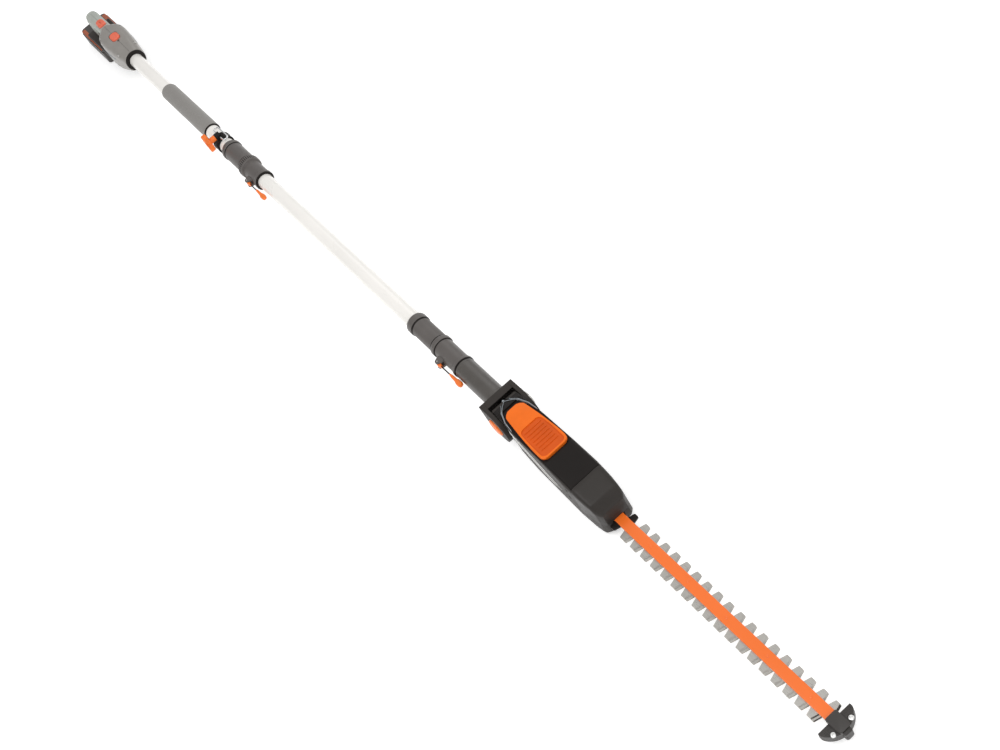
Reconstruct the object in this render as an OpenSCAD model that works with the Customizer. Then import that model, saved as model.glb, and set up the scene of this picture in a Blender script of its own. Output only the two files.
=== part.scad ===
// Pole hedge trimmer: battery handle, two-piece pole with lever couplings, tilting cutter head.
// Every solid is placed in one working frame: x runs forward from the first tooth of the
// right-hand row, y to the left, z up from the pole's centre line. place() moves that frame
// to the part's own origin, at the middle of the footprint on the ground.

/* [Pole] */
// Outer diameter of both tubes
pole_d = 32; // [30:0.5:34]
// Wall of both tubes
pole_wall = 2; // [1.5:0.5:3]
// Height of the pole's centre line above the ground
axis_z = 72; // [72:1:80]
// Bare length of the front tube between the couplings
mid_len = 567; // [450:1:700]
// Bare length of the rear tube between the foam grip and the handle
rear_len = 173; // [140:1:260]
// Length of the foam grip
foam_len = 215; // [150:1:260]
// Outer diameter of the foam grip
foam_d = 39; // [36:0.5:46]

/* [Couplings] */
// Length of the rear coupling
rear_coupling_len = 154; // [152:1:190]
// Length of the front coupling
front_coupling_len = 157; // [150:1:190]
// Outer diameter of the coupling sleeves
sleeve_d = 38; // [37.5:0.5:40]
// Outer diameter of the neck behind the head
neck_d = 40; // [38:0.5:41]

/* [Cutter] */
// Distance from one tooth to the next
tooth_pitch = 24; // [22:1:26]
// Steel teeth on each side
teeth = 18; // [12:1:20]
// Width across the tooth tips
tip_w = 44; // [42:1:48]
// Width of the blade rail
rail_w = 18.6; // [17:0.2:20]
// Half of the blade stroke
half_stroke = 6; // [4:0.5:6]

/* [Head] */
// Greatest width of the head
head_w = 66; // [65:1:70]
// Width across the yoke
yoke_w = 71; // [71:1:78]
// Wall of the moulded shells
wall = 2.5; // [2:0.5:3]

/* [Handle] */
// Width of the battery
battery_w = 76; // [72:1:80]
// Length of the battery
battery_len = 133; // [130:1:150]
// Width of the hand grip
grip_w = 31; // [30:1:36]

/* [Hidden] */
$fn = 48;
gap = 0.3;                      // between faces that slide past each other
fit = 0.06;                     // radial running clearance
pole_r = pole_d / 2;
bore_r = pole_r - pole_wall;
sleeve_r = sleeve_d / 2;
neck_r = neck_d / 2;

// Stations measured back from the first tooth
nose_at = 28;
pivot_at = 297;
pivot_z = -8;
yoke_front = 322.5;
yoke_back = 330;
coupling_front = 432;
coupling_back = coupling_front + front_coupling_len;
rear_coupling_front = coupling_back + mid_len;
rear_coupling_back = rear_coupling_front + rear_coupling_len;
clamp_at = rear_coupling_back + 29;
foam_front = rear_coupling_back + 82;
foam_back = foam_front + foam_len;
handle_front = foam_back + rear_len;
grip_front = handle_front + 125;
grip_back = grip_front + 115;
battery_back = grip_back + 68;
battery_front = battery_back - battery_len;

// The tip guard reaches this far in front of the first tooth
blade_end = tooth_pitch * (teeth - 1) + 24;
tip_reach = blade_end + 36;
origin_x = (tip_reach - battery_back) / 2;

// Levels measured from the pole's centre line
ground = -axis_z;
rail_bottom = -40.5;
rail_top = -36.5;
blade_t = 2.2;
upper_top = rail_bottom - gap;
upper_bottom = upper_top - blade_t;
lower_top = upper_bottom - gap;
lower_bottom = lower_top - blade_t;
dock_top = -24;
dock_bottom = -33.5;
grip_low = 8;
grip_high = 40;

// Drive train
gear_module = 1;
gear_teeth = 54;
pinion_teeth = 9;
gear_at = 140;
motor_at = gear_at + gear_module * (gear_teeth + pinion_teeth) / 2;
gear_bottom = -66;
gear_top = -58;
cam_r = 8;
window_x = cam_r + 2 * half_stroke - 1.5;
window_y = cam_r + half_stroke + 1;
plate_bottom = -40.5;
plate_top = -36.5;
motor_r = 21;
rail_bolts = [for (i = [0 : 4]) 50 + i * 86];

charcoal = "#3d3a36";
dark = "#5a5652";
orange = "#f27a35";
steel = "#c4c1bb";
white = "#ebe8e3";
pale = "#a9ada6";
black = "#241f1c";

// ---- helpers -------------------------------------------------------------------------------

module place() {
  translate([-origin_x, 0, axis_z]) children();
}

// Cylinder along the pole, between two stations
module rod(front, back, r) {
  translate([-back, 0, 0]) rotate([0, 90, 0]) cylinder(h = back - front, r = r);
}

module tube(front, back, r_out, r_in) {
  difference() {
    rod(front, back, r_out);
    rod(front - 1, back + 1, r_in);
  }
}

// Outline in x and z, given a width from y0 to y1
module side_plate(y0, y1) {
  translate([0, y1, 0]) rotate([90, 0, 0]) linear_extrude(height = y1 - y0) children();
}

// Cylinder across the pole, from y0 to y1, at a station and level
module cross_pin(at, z, y0, y1, r) {
  translate([-at, y1, z]) rotate([90, 0, 0]) cylinder(h = y1 - y0, r = r);
}

module upright(at, y, z0, z1, r) {
  translate([-at, y, z0]) cylinder(h = z1 - z0, r = r);
}

// Box between two stations and two heights, centred across the pole
module block(front, back, w, z0, z1) {
  translate([-back, -w / 2, z0]) cube([back - front, w, z1 - z0]);
}

// Square with rounded corners, centred
module round_rect(l, w, r) {
  union() {
    square([l - 2 * r, w], center = true);
    square([l, w - 2 * r], center = true);
    for (sx = [-1, 1])
      for (sy = [-1, 1])
        translate([sx * (l / 2 - r), sy * (w / 2 - r)]) circle(r = r);
  }
}

// Coil of closed rings along z
module ring_stack(turns, step, r, wire) {
  for (i = [0 : turns - 1])
    translate([0, 0, i * step]) rotate_extrude() translate([r, 0]) circle(r = wire, $fn = 16);
}

// Outline mirrored about the x axis from its upper half
function mirrored(half) = concat(half, [for (i = [len(half) - 1 : -1 : 0]) [half[i][0], -half[i][1]]]);

// ---- rear handle ---------------------------------------------------------------------------

module rear_tube() {
  color(white) place() tube(rear_coupling_back - 50, handle_front + 60, pole_r, bore_r);
}

module handle_front_collar() {
  color(charcoal) place() tube(handle_front + 3, handle_front + 8, 24.5, pole_r);
}

// Handle seen from the side: body, dock and hand loop in one outline
module handle_outline() {
  polygon([
    [-handle_front - 8, 23], [-handle_front - 50, 32], [-grip_front + 20, 38],
    [-grip_front - 12, grip_high], [-grip_back + 14, grip_high], [-grip_back + 3, grip_high - 5],
    [-grip_back, grip_high - 14], [-grip_back, dock_top + 8], [-grip_back - 20, dock_top - 2],
    [-grip_back - 20, dock_bottom], [-grip_front + 25, dock_bottom], [-handle_front - 60, -32],
    [-handle_front - 8, -23]
  ]);
}

module hand_opening() {
  polygon([
    [-grip_front - 4, grip_low - 8], [-grip_front - 12, grip_low], [-grip_back + 38, grip_low],
    [-grip_back + 30, grip_low - 8], [-grip_back + 30, dock_top + 8], [-grip_back + 38, dock_top],
    [-grip_front - 12, dock_top], [-grip_front - 4, dock_top + 8]
  ]);
}

// Handle seen from above
function handle_plan(inset) = mirrored([
  [-handle_front - 8, 24.5 - inset], [-grip_front + 75, 32 - inset],
  [-grip_front + 25, 34 - inset], [-grip_front + 8, 33 - inset],
  [-grip_front - 8, grip_w / 2 + 1 - inset], [-grip_back - 20, grip_w / 2 + 1 - inset]
]);

module handle_form(inset) {
  intersection() {
    side_plate(-40, 40) difference() {
      offset(delta = -inset) handle_outline();
      offset(delta = inset) hand_opening();
    }
    translate([0, 0, ground]) linear_extrude(height = 150) polygon(handle_plan(inset));
  }
}

module lock_button_hole(extra) {
  translate([-grip_front - 27, 0, grip_high - 12]) linear_extrude(height = 30)
    round_rect(30 + extra, 20 + extra, 7 + extra / 2);
}

module power_button_hole(extra) {
  translate([-grip_front + 45, 0, grip_high - 18]) linear_extrude(height = 30)
    round_rect(30 + extra, 22 + extra, 8 + extra / 2);
}

handle_screw_spots = [[handle_front + 30, 22], [handle_front + 75, -26], [grip_front - 16, 30]];

module handle_shell(side) {
  place() difference() {
    intersection() {
      difference() {
        handle_form(0);
        handle_form(wall);
      }
      translate([-grip_back - 40, side > 0 ? 0 : -40, ground]) cube([400, 40, 150]);
    }
    rod(handle_front - 10, handle_front + 61, pole_r);
    lock_button_hole(0.8);
    power_button_hole(0.8);
    // Slot under the grip for the trigger, and the rebate for the grip cover
    block(grip_front - 2, grip_front + 62, 13, grip_low - 12, grip_low + 12);
    grip_cover_outline();
    block(grip_front - 26, grip_back + 21, 80, dock_bottom - 1, dock_top - 0.01);
    for (p = handle_screw_spots)
      cross_pin(p[0], p[1], -40, 40, 2);
    cross_pin(grip_front - 6, 14, -40, 40, 1.5);
  }
}

module handle_shell_left() {
  color(pale) handle_shell(1);
}

module handle_shell_right() {
  color(pale) handle_shell(-1);
}

// Rounded soft cover over the back of the hand grip
module grip_cover_outline() {
  side_plate(-grip_w / 2 - 2, grip_w / 2 + 2) polygon([
    [-grip_back + 26, grip_high + 1], [-grip_back + 12, grip_high + 1], [-grip_back - 1, grip_high - 12],
    [-grip_back - 1, grip_low - 16], [-grip_back + 26, grip_low - 16]
  ]);
}

module grip_cover_form() {
  difference() {
    grip_cover_outline();
    side_plate(-grip_w / 2 + 3.5, grip_w / 2 - 3.5) polygon([
      [-grip_back + 26.1, grip_high - 2.5], [-grip_back + 14, grip_high - 2.5],
      [-grip_back + 2.5, grip_high - 14], [-grip_back + 2.5, grip_low - 16.1],
      [-grip_back + 26.1, grip_low - 16.1]
    ]);
  }
}

module grip_cover() {
  color(pale) place() grip_cover_form();
}

module handle_screws() {
  color(steel) place() for (p = handle_screw_spots)
    cross_pin(p[0], p[1], -24, 24, 2);
}

// Plate with two rails that the battery slides along
module battery_dock() {
  color(charcoal) place() difference() {
    block(grip_front - 25, grip_back + 20, 66, dock_bottom, dock_top - 0.02);
    block(grip_front - 60, grip_back + 21, 40, dock_bottom - 1, dock_bottom + 5);
    block(battery_front + 8, grip_back + 21, 52, dock_bottom + 2, dock_bottom + 5);
  }
}

module terminal_block() {
  color(black) place() block(battery_front - 12, battery_front - 1.5, 30, dock_bottom + 0.2, dock_bottom + 4.9);
}

module controller_board() {
  color("seagreen") place() {
    block(handle_front + 64, handle_front + 112, 44, -14, -12.4);
    block(handle_front + 70, handle_front + 90, 30, -12.4, -4);
  }
}

module switch_module() {
  color(black) place() block(grip_front - 32, grip_front - 12, 14, 4, 22);
}

// ---- trigger and buttons -------------------------------------------------------------------

trigger_at = grip_front - 6;
trigger_z = 14;

module trigger() {
  color(charcoal) place() difference() {
    side_plate(-5.5, 5.5) union() {
      translate([-trigger_at, trigger_z]) circle(r = 4.5);
      polygon([
        [-trigger_at + 2, trigger_z + 4], [-trigger_at - 50, trigger_z + 3],
        [-trigger_at - 54, trigger_z - 12], [-trigger_at - 36, trigger_z - 20],
        [-trigger_at - 16, trigger_z - 16], [-trigger_at - 7, trigger_z - 9], [-trigger_at + 2, trigger_z - 4]
      ]);
    }
    cross_pin(trigger_at, trigger_z, -10, 10, 1.5 + fit);
  }
}

module trigger_pin() {
  color(steel) place() cross_pin(trigger_at, trigger_z, -30, 30, 1.5);
}

// Torsion spring round the pin
module trigger_spring() {
  color(steel) place() translate([-trigger_at, 7.5, trigger_z]) rotate([-90, 0, 0])
    ring_stack(4, 1.6, 2.8, 0.6);
}

module lock_button() {
  color(orange) place() intersection() {
    lock_button_hole(0);
    block(grip_front + 8, grip_front + 46, 30, grip_high - 9, grip_high + 5);
  }
}

module power_button() {
  color(orange) place() intersection() {
    power_button_hole(0);
    block(grip_front - 64, grip_front - 26, 30, grip_high - 14, grip_high - 1);
  }
}

// ---- battery -------------------------------------------------------------------------------

battery_low = ground;
battery_split = dock_bottom - 6;

module battery_case() {
  color(charcoal) place() difference() {
    translate([-(battery_front + battery_back) / 2, 0, battery_low])
      linear_extrude(height = battery_split - battery_low) round_rect(battery_len, battery_w, 8);
    translate([-(battery_front + battery_back) / 2, 0, battery_low + wall])
      linear_extrude(height = 60) round_rect(battery_len - 2 * wall, battery_w - 2 * wall, 6);
    block(battery_back - 4, battery_back + 1, 24, battery_split - 16, battery_split + 1);
  }
}

module battery_lid() {
  color(orange) place() {
    translate([-(battery_front + battery_back) / 2, 0, battery_split])
      linear_extrude(height = dock_bottom - gap - battery_split) round_rect(battery_len, battery_w - 4, 8);
    // Tongue that runs in the dock
    block(battery_front + 2, grip_back + 19, 39, dock_bottom - gap - 0.5, dock_bottom + 2.2);
    block(battery_front + 9, grip_back + 19, 51, dock_bottom + 2.2, dock_bottom + 4.7);
  }
}

module battery_cells() {
  color("teal") place() for (i = [0 : 4])
    cross_pin(battery_front + 20 + i * 22, battery_low + wall + 10.5, -34, 34, 9);
}

module battery_latch() {
  color(orange) place() block(battery_back - 3.6, battery_back, 22, battery_split - 15, battery_split - 1);
}

// ---- foam grip and harness clamp -----------------------------------------------------------

module foam_grip() {
  color("#85827d") place() tube(foam_front, foam_back, foam_d / 2, pole_r);
}

clamp_r = 20;
clamp_lug_y = [-9, 3];
screw_z = 25;
ring_z = 24;
ring_y = -1;
ring_r = 6;
ring_reach = 19;

// Band round the tube with a lug on top for the wing screw and the strap ring
module harness_clamp() {
  color(black) place() difference() {
    union() {
      rod(clamp_at - 12, clamp_at + 12, clamp_r);
      translate([-clamp_at - 7, clamp_lug_y[0], pole_r]) cube([14, clamp_lug_y[1] - clamp_lug_y[0], screw_z + 5 - pole_r]);
    }
    rod(clamp_at - 13, clamp_at + 13, pole_r);
    translate([-clamp_at, ring_y, ring_z]) rotate([0, 90, 0]) cylinder(h = 20, r = 2.6, center = true);
    cross_pin(clamp_at, screw_z, clamp_lug_y[0] - 1, clamp_lug_y[0] + 4, 3 + fit);
  }
}

// Wing knob on its stud, on the right of the lug
module clamp_knob() {
  color(orange) place() union() {
    cross_pin(clamp_at, screw_z, clamp_lug_y[0] - 10, clamp_lug_y[0] + 3.7, 3);
    cross_pin(clamp_at, screw_z, -clamp_r - 8, clamp_lug_y[0] - gap, 6.5);
    translate([-clamp_at, -clamp_r - 13, screw_z]) rotate([-90, 0, 0]) linear_extrude(height = 11) union() {
      for (s = [-1, 1])
        translate([0, s * 15]) circle(r = 8);
      square([11, 30], center = true);
    }
  }
}

// Long ring folded down beside the lug
module strap_ring() {
  color("silver") place() translate([-clamp_at, ring_y + ring_r, ring_z]) union() {
    for (s = [-1, 1])
      translate([0, s * ring_r, 0]) rotate([0, 90, 0]) cylinder(h = 2 * ring_reach, r = 1.8, center = true);
    for (s = [-1, 1])
      translate([s * ring_reach, 0, 0]) rotate([0, 0, -s * 90]) rotate_extrude(angle = 180)
        translate([ring_r, 0]) circle(r = 1.8);
  }
}

// ---- couplings -----------------------------------------------------------------------------

lever_len = 74;
lever_y = -26.2;
lever_r = 4;

// Ears that hold a flip lever, on a sleeve of radius r
module lever_ears(at, r) {
  difference() {
    translate([-at - 7, lever_y - 4.5, -9]) cube([14, -lever_y - r + 6, 18]);
    translate([-at - 8, lever_y - 5, -5]) cube([40, -lever_y - r + 5, 10]);
    upright(at, lever_y, -10, 10, 1.5);
  }
}

module flip_lever(at) {
  difference() {
    union() {
      upright(at, lever_y, -4.7, 4.7, lever_r);
      translate([-at, lever_y - 2, -4.7]) cube([44, 4, 9.4]);
      translate([-at + 40, lever_y, 0]) rotate([0, 90, 0]) cylinder(h = lever_len - 46, r = 4.2);
      translate([-at + lever_len - 8, lever_y, 0]) sphere(r = 5.4);
    }
    upright(at, lever_y, -10, 10, 1.5 + fit);
  }
}

rear_lever_at = rear_coupling_front + 30;
front_lever_at = coupling_front + 46;

module rear_coupling() {
  color(dark) place() {
    difference() {
      union() {
        rod(rear_coupling_front + 58, rear_coupling_back, 20.8);
        rod(rear_coupling_front + 140, rear_coupling_front + 150, 22.4);
        rod(rear_coupling_front + 57, rear_coupling_front + 76, 23.7);
        rod(rear_coupling_front, rear_coupling_front + 59, 19.5);
        rod(rear_coupling_front, rear_coupling_front + 10, 21);
      }
      rod(rear_coupling_front - 1, rear_coupling_back - 50, pole_r + fit);
      rod(rear_coupling_back - 51, rear_coupling_back + 1, pole_r);
    }
    difference() {
      lever_ears(rear_lever_at, 19.5);
      rod(rear_coupling_front - 1, rear_coupling_back, 19.4);
    }
  }
}

module rear_lever() {
  color(orange) place() flip_lever(rear_lever_at);
}

module rear_lever_pin() {
  color(steel) place() upright(rear_lever_at, lever_y, -9, 9, 1.5);
}

module front_coupling() {
  color(dark) place() {
    difference() {
      union() {
        rod(coupling_front, coupling_back, sleeve_r);
        rod(coupling_back - 17, coupling_back, sleeve_r + 1.8);
        rod(coupling_front + 67, coupling_front + 77, 21.2);
        rod(coupling_front, coupling_front + 8, 21.2);
      }
      rod(coupling_front - 1, coupling_front + 75, pole_r + fit);
      rod(coupling_front + 74, coupling_back + 1, pole_r);
    }
    difference() {
      lever_ears(front_lever_at, sleeve_r);
      rod(coupling_front - 1, coupling_back, sleeve_r - 0.1);
    }
  }
}

module front_lever() {
  color(orange) place() flip_lever(front_lever_at);
}

module front_lever_pin() {
  color(steel) place() upright(front_lever_at, lever_y, -9, 9, 1.5);
}

module pole_lead() {
  color(black) place() rod(rear_coupling_back - 45, handle_front + 62, 3);
}

module mid_lead() {
  color(black) place() rod(coupling_front + 80, rear_coupling_front + 92, 3);
}

module mid_tube() {
  color(white) place() tube(coupling_front + 75, rear_coupling_front + 97, pole_r, bore_r);
}

// ---- neck and yoke -------------------------------------------------------------------------

module neck() {
  color(dark) place() difference() {
    union() {
      rod(yoke_back, coupling_front - gap, neck_r);
      rod(coupling_front - 1, coupling_front + 70, pole_r);
    }
    rod(yoke_back - 1, coupling_front + 71, bore_r - 1);
  }
}

cheek_in = 27.8;
cheek_r = 33;
yoke_hood_r = 34.6;
yoke_hood_z = 15.4;

module yoke() {
  color(charcoal) place() difference() {
    union() {
      side_plate(-yoke_w / 2, yoke_w / 2) union() {
        translate([-yoke_back, -32]) square([yoke_back - yoke_front, 54]);
        difference() {
          translate([-yoke_back, yoke_hood_z]) square([yoke_back - pivot_at - 10, 22 - yoke_hood_z]);
          translate([-pivot_at, pivot_z]) circle(r = yoke_hood_r);
        }
      }
      for (side = [-1, 1])
        side_plate(side > 0 ? cheek_in : -yoke_w / 2, side > 0 ? yoke_w / 2 : -cheek_in) union() {
          translate([-pivot_at, pivot_z]) circle(r = cheek_r);
          polygon([
            [-yoke_back, -32], [-yoke_back, 22], [-pivot_at - 8, pivot_z + 32], [-pivot_at - 8, pivot_z - 32]
          ]);
        }
    }
    cross_pin(pivot_at, pivot_z, -50, -cheek_in - 1.5, 18);
    cross_pin(pivot_at, pivot_z, -50, -cheek_in + 1, 6);
    cross_pin(pivot_at, pivot_z, cheek_in - 1, 50, 6);
    rod(yoke_front - 1, yoke_back + 1, 8);
  }
}

module pivot_bolt() {
  color(steel) place() union() {
    cross_pin(pivot_at, pivot_z, -cheek_in + 1, yoke_w / 2, 6);
    cross_pin(pivot_at, pivot_z, yoke_w / 2, yoke_w / 2 + 5, 14);
  }
}

// Round button in the right-hand cheek that frees the tilt
module tilt_button() {
  color(orange) place() union() {
    cross_pin(pivot_at, pivot_z, -yoke_w / 2 - 4, -yoke_w / 2 + 1.5, 17);
    cross_pin(pivot_at, pivot_z, -yoke_w / 2 + 1.5, -yoke_w / 2 + 2.5, 15);
  }
}

module tilt_spring() {
  color(steel) place() translate([-pivot_at, -cheek_in - 2.03, pivot_z]) rotate([90, 0, 0])
    ring_stack(1, 1, 10, 0.5);
}

// ---- head shells ---------------------------------------------------------------------------

module head_outline() {
  union() {
    translate([-pivot_at, pivot_z]) circle(r = 24);
    polygon([
      [-pivot_at, pivot_z], [-pivot_at - 9, 22], [-pivot_at + 12, 30], [-150, 30], [-80, 22],
      [-45, 12], [-nose_at - 3, -4], [-nose_at, -36], [-nose_at, -60], [-nose_at - 14, ground],
      [-215, ground], [-262, -45], [-270, pivot_z - 24], [-pivot_at, pivot_z - 24]
    ]);
  }
}

function head_plan(inset) = mirrored([
  [-pivot_at - 30, cheek_in - gap - inset], [-258, cheek_in - gap - inset],
  [-250, head_w / 2 - 3.5 - inset], [-95, head_w / 2 - inset], [-60, head_w / 2 - 1.5 - inset],
  [-nose_at - 9, 29 - inset], [-nose_at, 22 - inset]
]);

module head_form(inset) {
  intersection() {
    side_plate(-45, 45) offset(delta = -inset) head_outline();
    translate([0, 0, ground - 1]) linear_extrude(height = 110)
      intersection() {
        polygon(head_plan(inset));
        translate([-pivot_at - 40, -50]) square([pivot_at + 40 - nose_at - inset, 100]);
      }
  }
}

cover_floor = 24;
nose_back = 85;

// Space that the top cover fills, between two stations
module top_window() {
  block(nose_back + 0.3, pivot_at + 4, head_w - 6.4, cover_floor, 40);
}

module blade_slot() {
  block(-10, 90, 23, lower_bottom - 4, rail_top + 0.4);
}

head_screw_spots = [[232, -30], [108, -25], [102, 4], [228, 14]];

module head_shell(side) {
  place() difference() {
    intersection() {
      difference() {
        head_form(0);
        head_form(wall);
      }
      union() {
        block(nose_back, 400, 100, ground, 40);
        block(0, 400, 100, ground, rail_top - 0.4);
      }
      translate([-400, side > 0 ? 0 : -50, ground]) cube([400, 50, 120]);
    }
    top_window();
    blade_slot();
    cross_pin(pivot_at, pivot_z, -50, 50, 6 + fit);
    for (p = head_screw_spots)
      cross_pin(p[0], p[1], -40, 40, 2);
  }
}

module head_shell_left() {
  color(charcoal) head_shell(1);
}

module head_shell_right() {
  color(charcoal) head_shell(-1);
}

module nose_cover() {
  color(dark) place() difference() {
    intersection() {
      difference() {
        head_form(0);
        head_form(wall);
      }
      block(0, nose_back - 0.3, 100, rail_top, 40);
    }
    blade_slot();
  }
}

latch_travel = 8;

// Cover over the head's back, with the pocket that the latch tab slides in
module top_cover() {
  color(black) place() difference() {
    intersection() {
      block(nose_back + 0.6, pivot_at + 3.7, head_w - 7, cover_floor, 40);
      head_form(0);
    }
    block(148, 284, 70, 27, 40);
    block(196, 220, 14, cover_floor - 1, 28);
  }
}

module latch_tab() {
  color(orange) place() difference() {
    union() {
      translate([0, 0, 27 + gap]) linear_extrude(height = 6.4) polygon(mirrored([
        [-274, 8], [-272, 13], [-267, 17.5], [-258, 20.5], [-225, 24], [-180, 27.5], [-168, 28],
        [-160, 26.5], [-155, 22], [-153, 15]
      ]));
      block(198, 210, 12, cover_floor - 6, 28);
    }
    // Finger hollow with its ribs left standing
    for (i = [0 : 5])
      translate([-222 + i * 10.5, -20, 31.5]) cube([6.5, 40, 5]);
  }
}

module latch_spring() {
  color(steel) place() translate([-226, 0, cover_floor - 12]) rotate([0, 90, 0])
    ring_stack(6, 2.4, 3, 0.5);
}

module head_screws() {
  color(steel) place() for (p = head_screw_spots)
    cross_pin(p[0], p[1], -34, -20, 2);
}

// ---- motor and gears -----------------------------------------------------------------------

module motor_can() {
  color("#8c8a86") place() difference() {
    upright(motor_at, 0, plate_top, 18, motor_r);
    upright(motor_at, 0, plate_top + 2, 16, motor_r - 2);
    upright(motor_at, 0, plate_top - 1, 19, 5);
  }
}

module motor_bearings() {
  color(steel) place() for (z = [plate_top, 14])
    difference() {
      upright(motor_at, 0, z, z + 4, 5);
      upright(motor_at, 0, z - 1, z + 5, 2.5 + fit);
    }
}

module motor_shaft() {
  color(steel) place() union() {
    upright(motor_at, 0, gear_bottom - 1, 20, 2.5);
    upright(motor_at, 0, plate_top + 7, 11, motor_r - 5);
  }
}

// Toothed wheel with straight-flanked teeth; a tooth points along +x
module toothed(n, half, gap_turn) {
  pitch_r = gear_module * n / 2;
  root_r = pitch_r - 1.2 * gear_module;
  tip_r = pitch_r + 0.85 * gear_module;
  step = 360 / n;
  polygon([for (i = [0 : n - 1], k = [0 : 3])
    let (a = gap_turn + i * step + [-1, -half, half, 1][k] * step * 0.24,
         r = (k == 0 || k == 3) ? root_r : tip_r)
    [r * cos(a), r * sin(a)]]);
}

module drive_gear() {
  color("#b9b6ae") place() difference() {
    union() {
      translate([-gear_at, 0, gear_bottom]) linear_extrude(height = gear_top - gear_bottom)
        rotate([0, 0, 180]) toothed(gear_teeth, 0.5, 0);
      upright(gear_at, 0, gear_top, lower_bottom - 1, 7);
    }
    upright(gear_at, 0, gear_bottom - 1, 0, 3 + fit);
  }
}

module pinion() {
  color(steel) place() difference() {
    translate([-motor_at, 0, gear_bottom + 1]) linear_extrude(height = gear_top - gear_bottom - 2)
      toothed(pinion_teeth, 0.35, 180 / pinion_teeth);
    upright(motor_at, 0, gear_bottom - 2, 0, 2.5);
  }
}

// Two eccentric discs, half a turn apart
module cam_pair() {
  color(steel) place() difference() {
    union() {
      upright(gear_at, -half_stroke + 1, lower_bottom - 1, lower_top + 0.1, cam_r - 1);
      upright(gear_at, half_stroke - 1, lower_top + 0.1, upper_top + 0.1, cam_r - 1);
    }
    upright(gear_at, 0, gear_bottom - 1, 0, 3 + fit);
  }
}

module gear_axle() {
  color(steel) place() upright(gear_at, 0, gear_bottom - 2, plate_top, 3);
}

module gear_plate() {
  color("#a8a6a1") place() difference() {
    block(62, motor_at + 22, 50, plate_bottom, plate_top);
    upright(gear_at, 0, plate_bottom - 1, plate_top + 1, 3);
    upright(motor_at, 0, plate_bottom - 1, plate_top + 1, 5);
    block(50, 96, rail_w, plate_bottom - 1, plate_top + 1);
  }
}

// ---- cutter --------------------------------------------------------------------------------

module blade_rail() {
  color(orange) place() difference() {
    block(-blade_end, 96, rail_w, rail_bottom, rail_top);
    for (x = rail_bolts)
      upright(-x, 0, rail_bottom - 1, rail_top + 1, 2.5);
  }
}

tooth_root = 17;
tooth_tip = 10;
spine_w = 18;

// One tooth at x, turned by 180 degrees for the right-hand row
module tooth(x, turn) {
  translate([x, 0]) rotate([0, 0, turn]) polygon([
    [-tooth_root / 2, spine_w / 2 - 1], [tooth_root / 2, spine_w / 2 - 1],
    [tooth_tip / 2, tip_w / 2], [-tooth_tip / 2, tip_w / 2]
  ]);
}

// Each blade's first teeth, right and left row. The rows are staggered, and at rest the lower
// blade stands ahead on the right.
upper_rows = [2, 16];
lower_rows = [6.5, 16.8];

module blade_plan(rows) {
  difference() {
    union() {
      translate([-gear_at, -spine_w / 2]) square([gear_at + blade_end, spine_w]);
      translate([-gear_at, 0]) square([2 * window_x + 8, 2 * window_y + 8], center = true);
      for (i = [0 : teeth - 1]) {
        tooth(i * tooth_pitch + rows[0], 180);
        tooth(i * tooth_pitch + rows[1], 0);
      }
    }
    translate([-gear_at, 0]) square([2 * window_x, 2 * window_y], center = true);
    for (x = rail_bolts)
      translate([x, 0]) union() {
        square([2 * half_stroke + 0.8, 6.6], center = true);
        for (s = [-1, 1])
          translate([s * (half_stroke + 0.4), 0]) circle(r = 3.3);
      }
  }
}

module upper_blade() {
  color(steel) place() translate([0, 0, upper_bottom]) linear_extrude(height = blade_t) blade_plan(upper_rows);
}

module lower_blade() {
  color(steel) place() translate([0, 0, lower_bottom]) linear_extrude(height = blade_t) blade_plan(lower_rows);
}

module blade_bolts() {
  color("#8a8884") place() for (x = rail_bolts) union() {
    upright(-x, 0, lower_bottom - gap - 1, rail_top + 0.8, 2.5);
    upright(-x, 0, lower_bottom - gap - 3.2, lower_bottom - gap, 6);
  }
}

// Black fixed teeth at the root of the cutter
module root_stops() {
  color(black) place() translate([0, 0, rail_bottom]) linear_extrude(height = rail_top - rail_bottom) {
    polygon([[-27, -rail_w / 2], [-25, -21], [-16, -21], [-13, -rail_w / 2]]);
    polygon([[-15, rail_w / 2], [-12, 21], [-4, 21], [-1, rail_w / 2]]);
  }
}

// ---- tip guard -----------------------------------------------------------------------------

guard_w = 61;
guard_back = blade_end + 6;
tip_screw_y = 17;
guard_r = 34;

module guard_plan() {
  intersection() {
    translate([guard_back, -guard_w / 2]) square([60, guard_w]);
    translate([blade_end - 4, 0]) circle(r = guard_r);
  }
}

module tip_screw_holes(r) {
  for (s = [-1, 1])
    upright(-blade_end - 22, s * tip_screw_y, -60, -20, r);
}

module tip_guard_top() {
  color(charcoal) place() difference() {
    union() {
      translate([0, 0, rail_bottom]) linear_extrude(height = 5) guard_plan();
      block(-blade_end - 30, -blade_end, 22, rail_bottom, -31);
      block(-tip_reach, -blade_end - 20, 14, rail_bottom, -34);
    }
    block(-blade_end - 1, 10 - blade_end, rail_w, rail_bottom - 1, rail_top);
    tip_screw_holes(2);
  }
}

module tip_guard_bottom() {
  color(charcoal) place() difference() {
    union() {
      translate([0, 0, -52]) linear_extrude(height = rail_bottom + 52) guard_plan();
      block(-tip_reach, -blade_end - 20, 14, -52, rail_bottom);
    }
    block(-blade_end - 14, 10 - blade_end, tip_w + 3, lower_bottom - 1, rail_bottom + 1);
    tip_screw_holes(2);
  }
}

module tip_screws() {
  color("#e5e5e3") place() for (s = [-1, 1]) union() {
    upright(-blade_end - 22, s * tip_screw_y, -50, rail_bottom + 5, 2);
    upright(-blade_end - 22, s * tip_screw_y, rail_bottom + 5, rail_bottom + 7.2, 4);
  }
}

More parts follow.
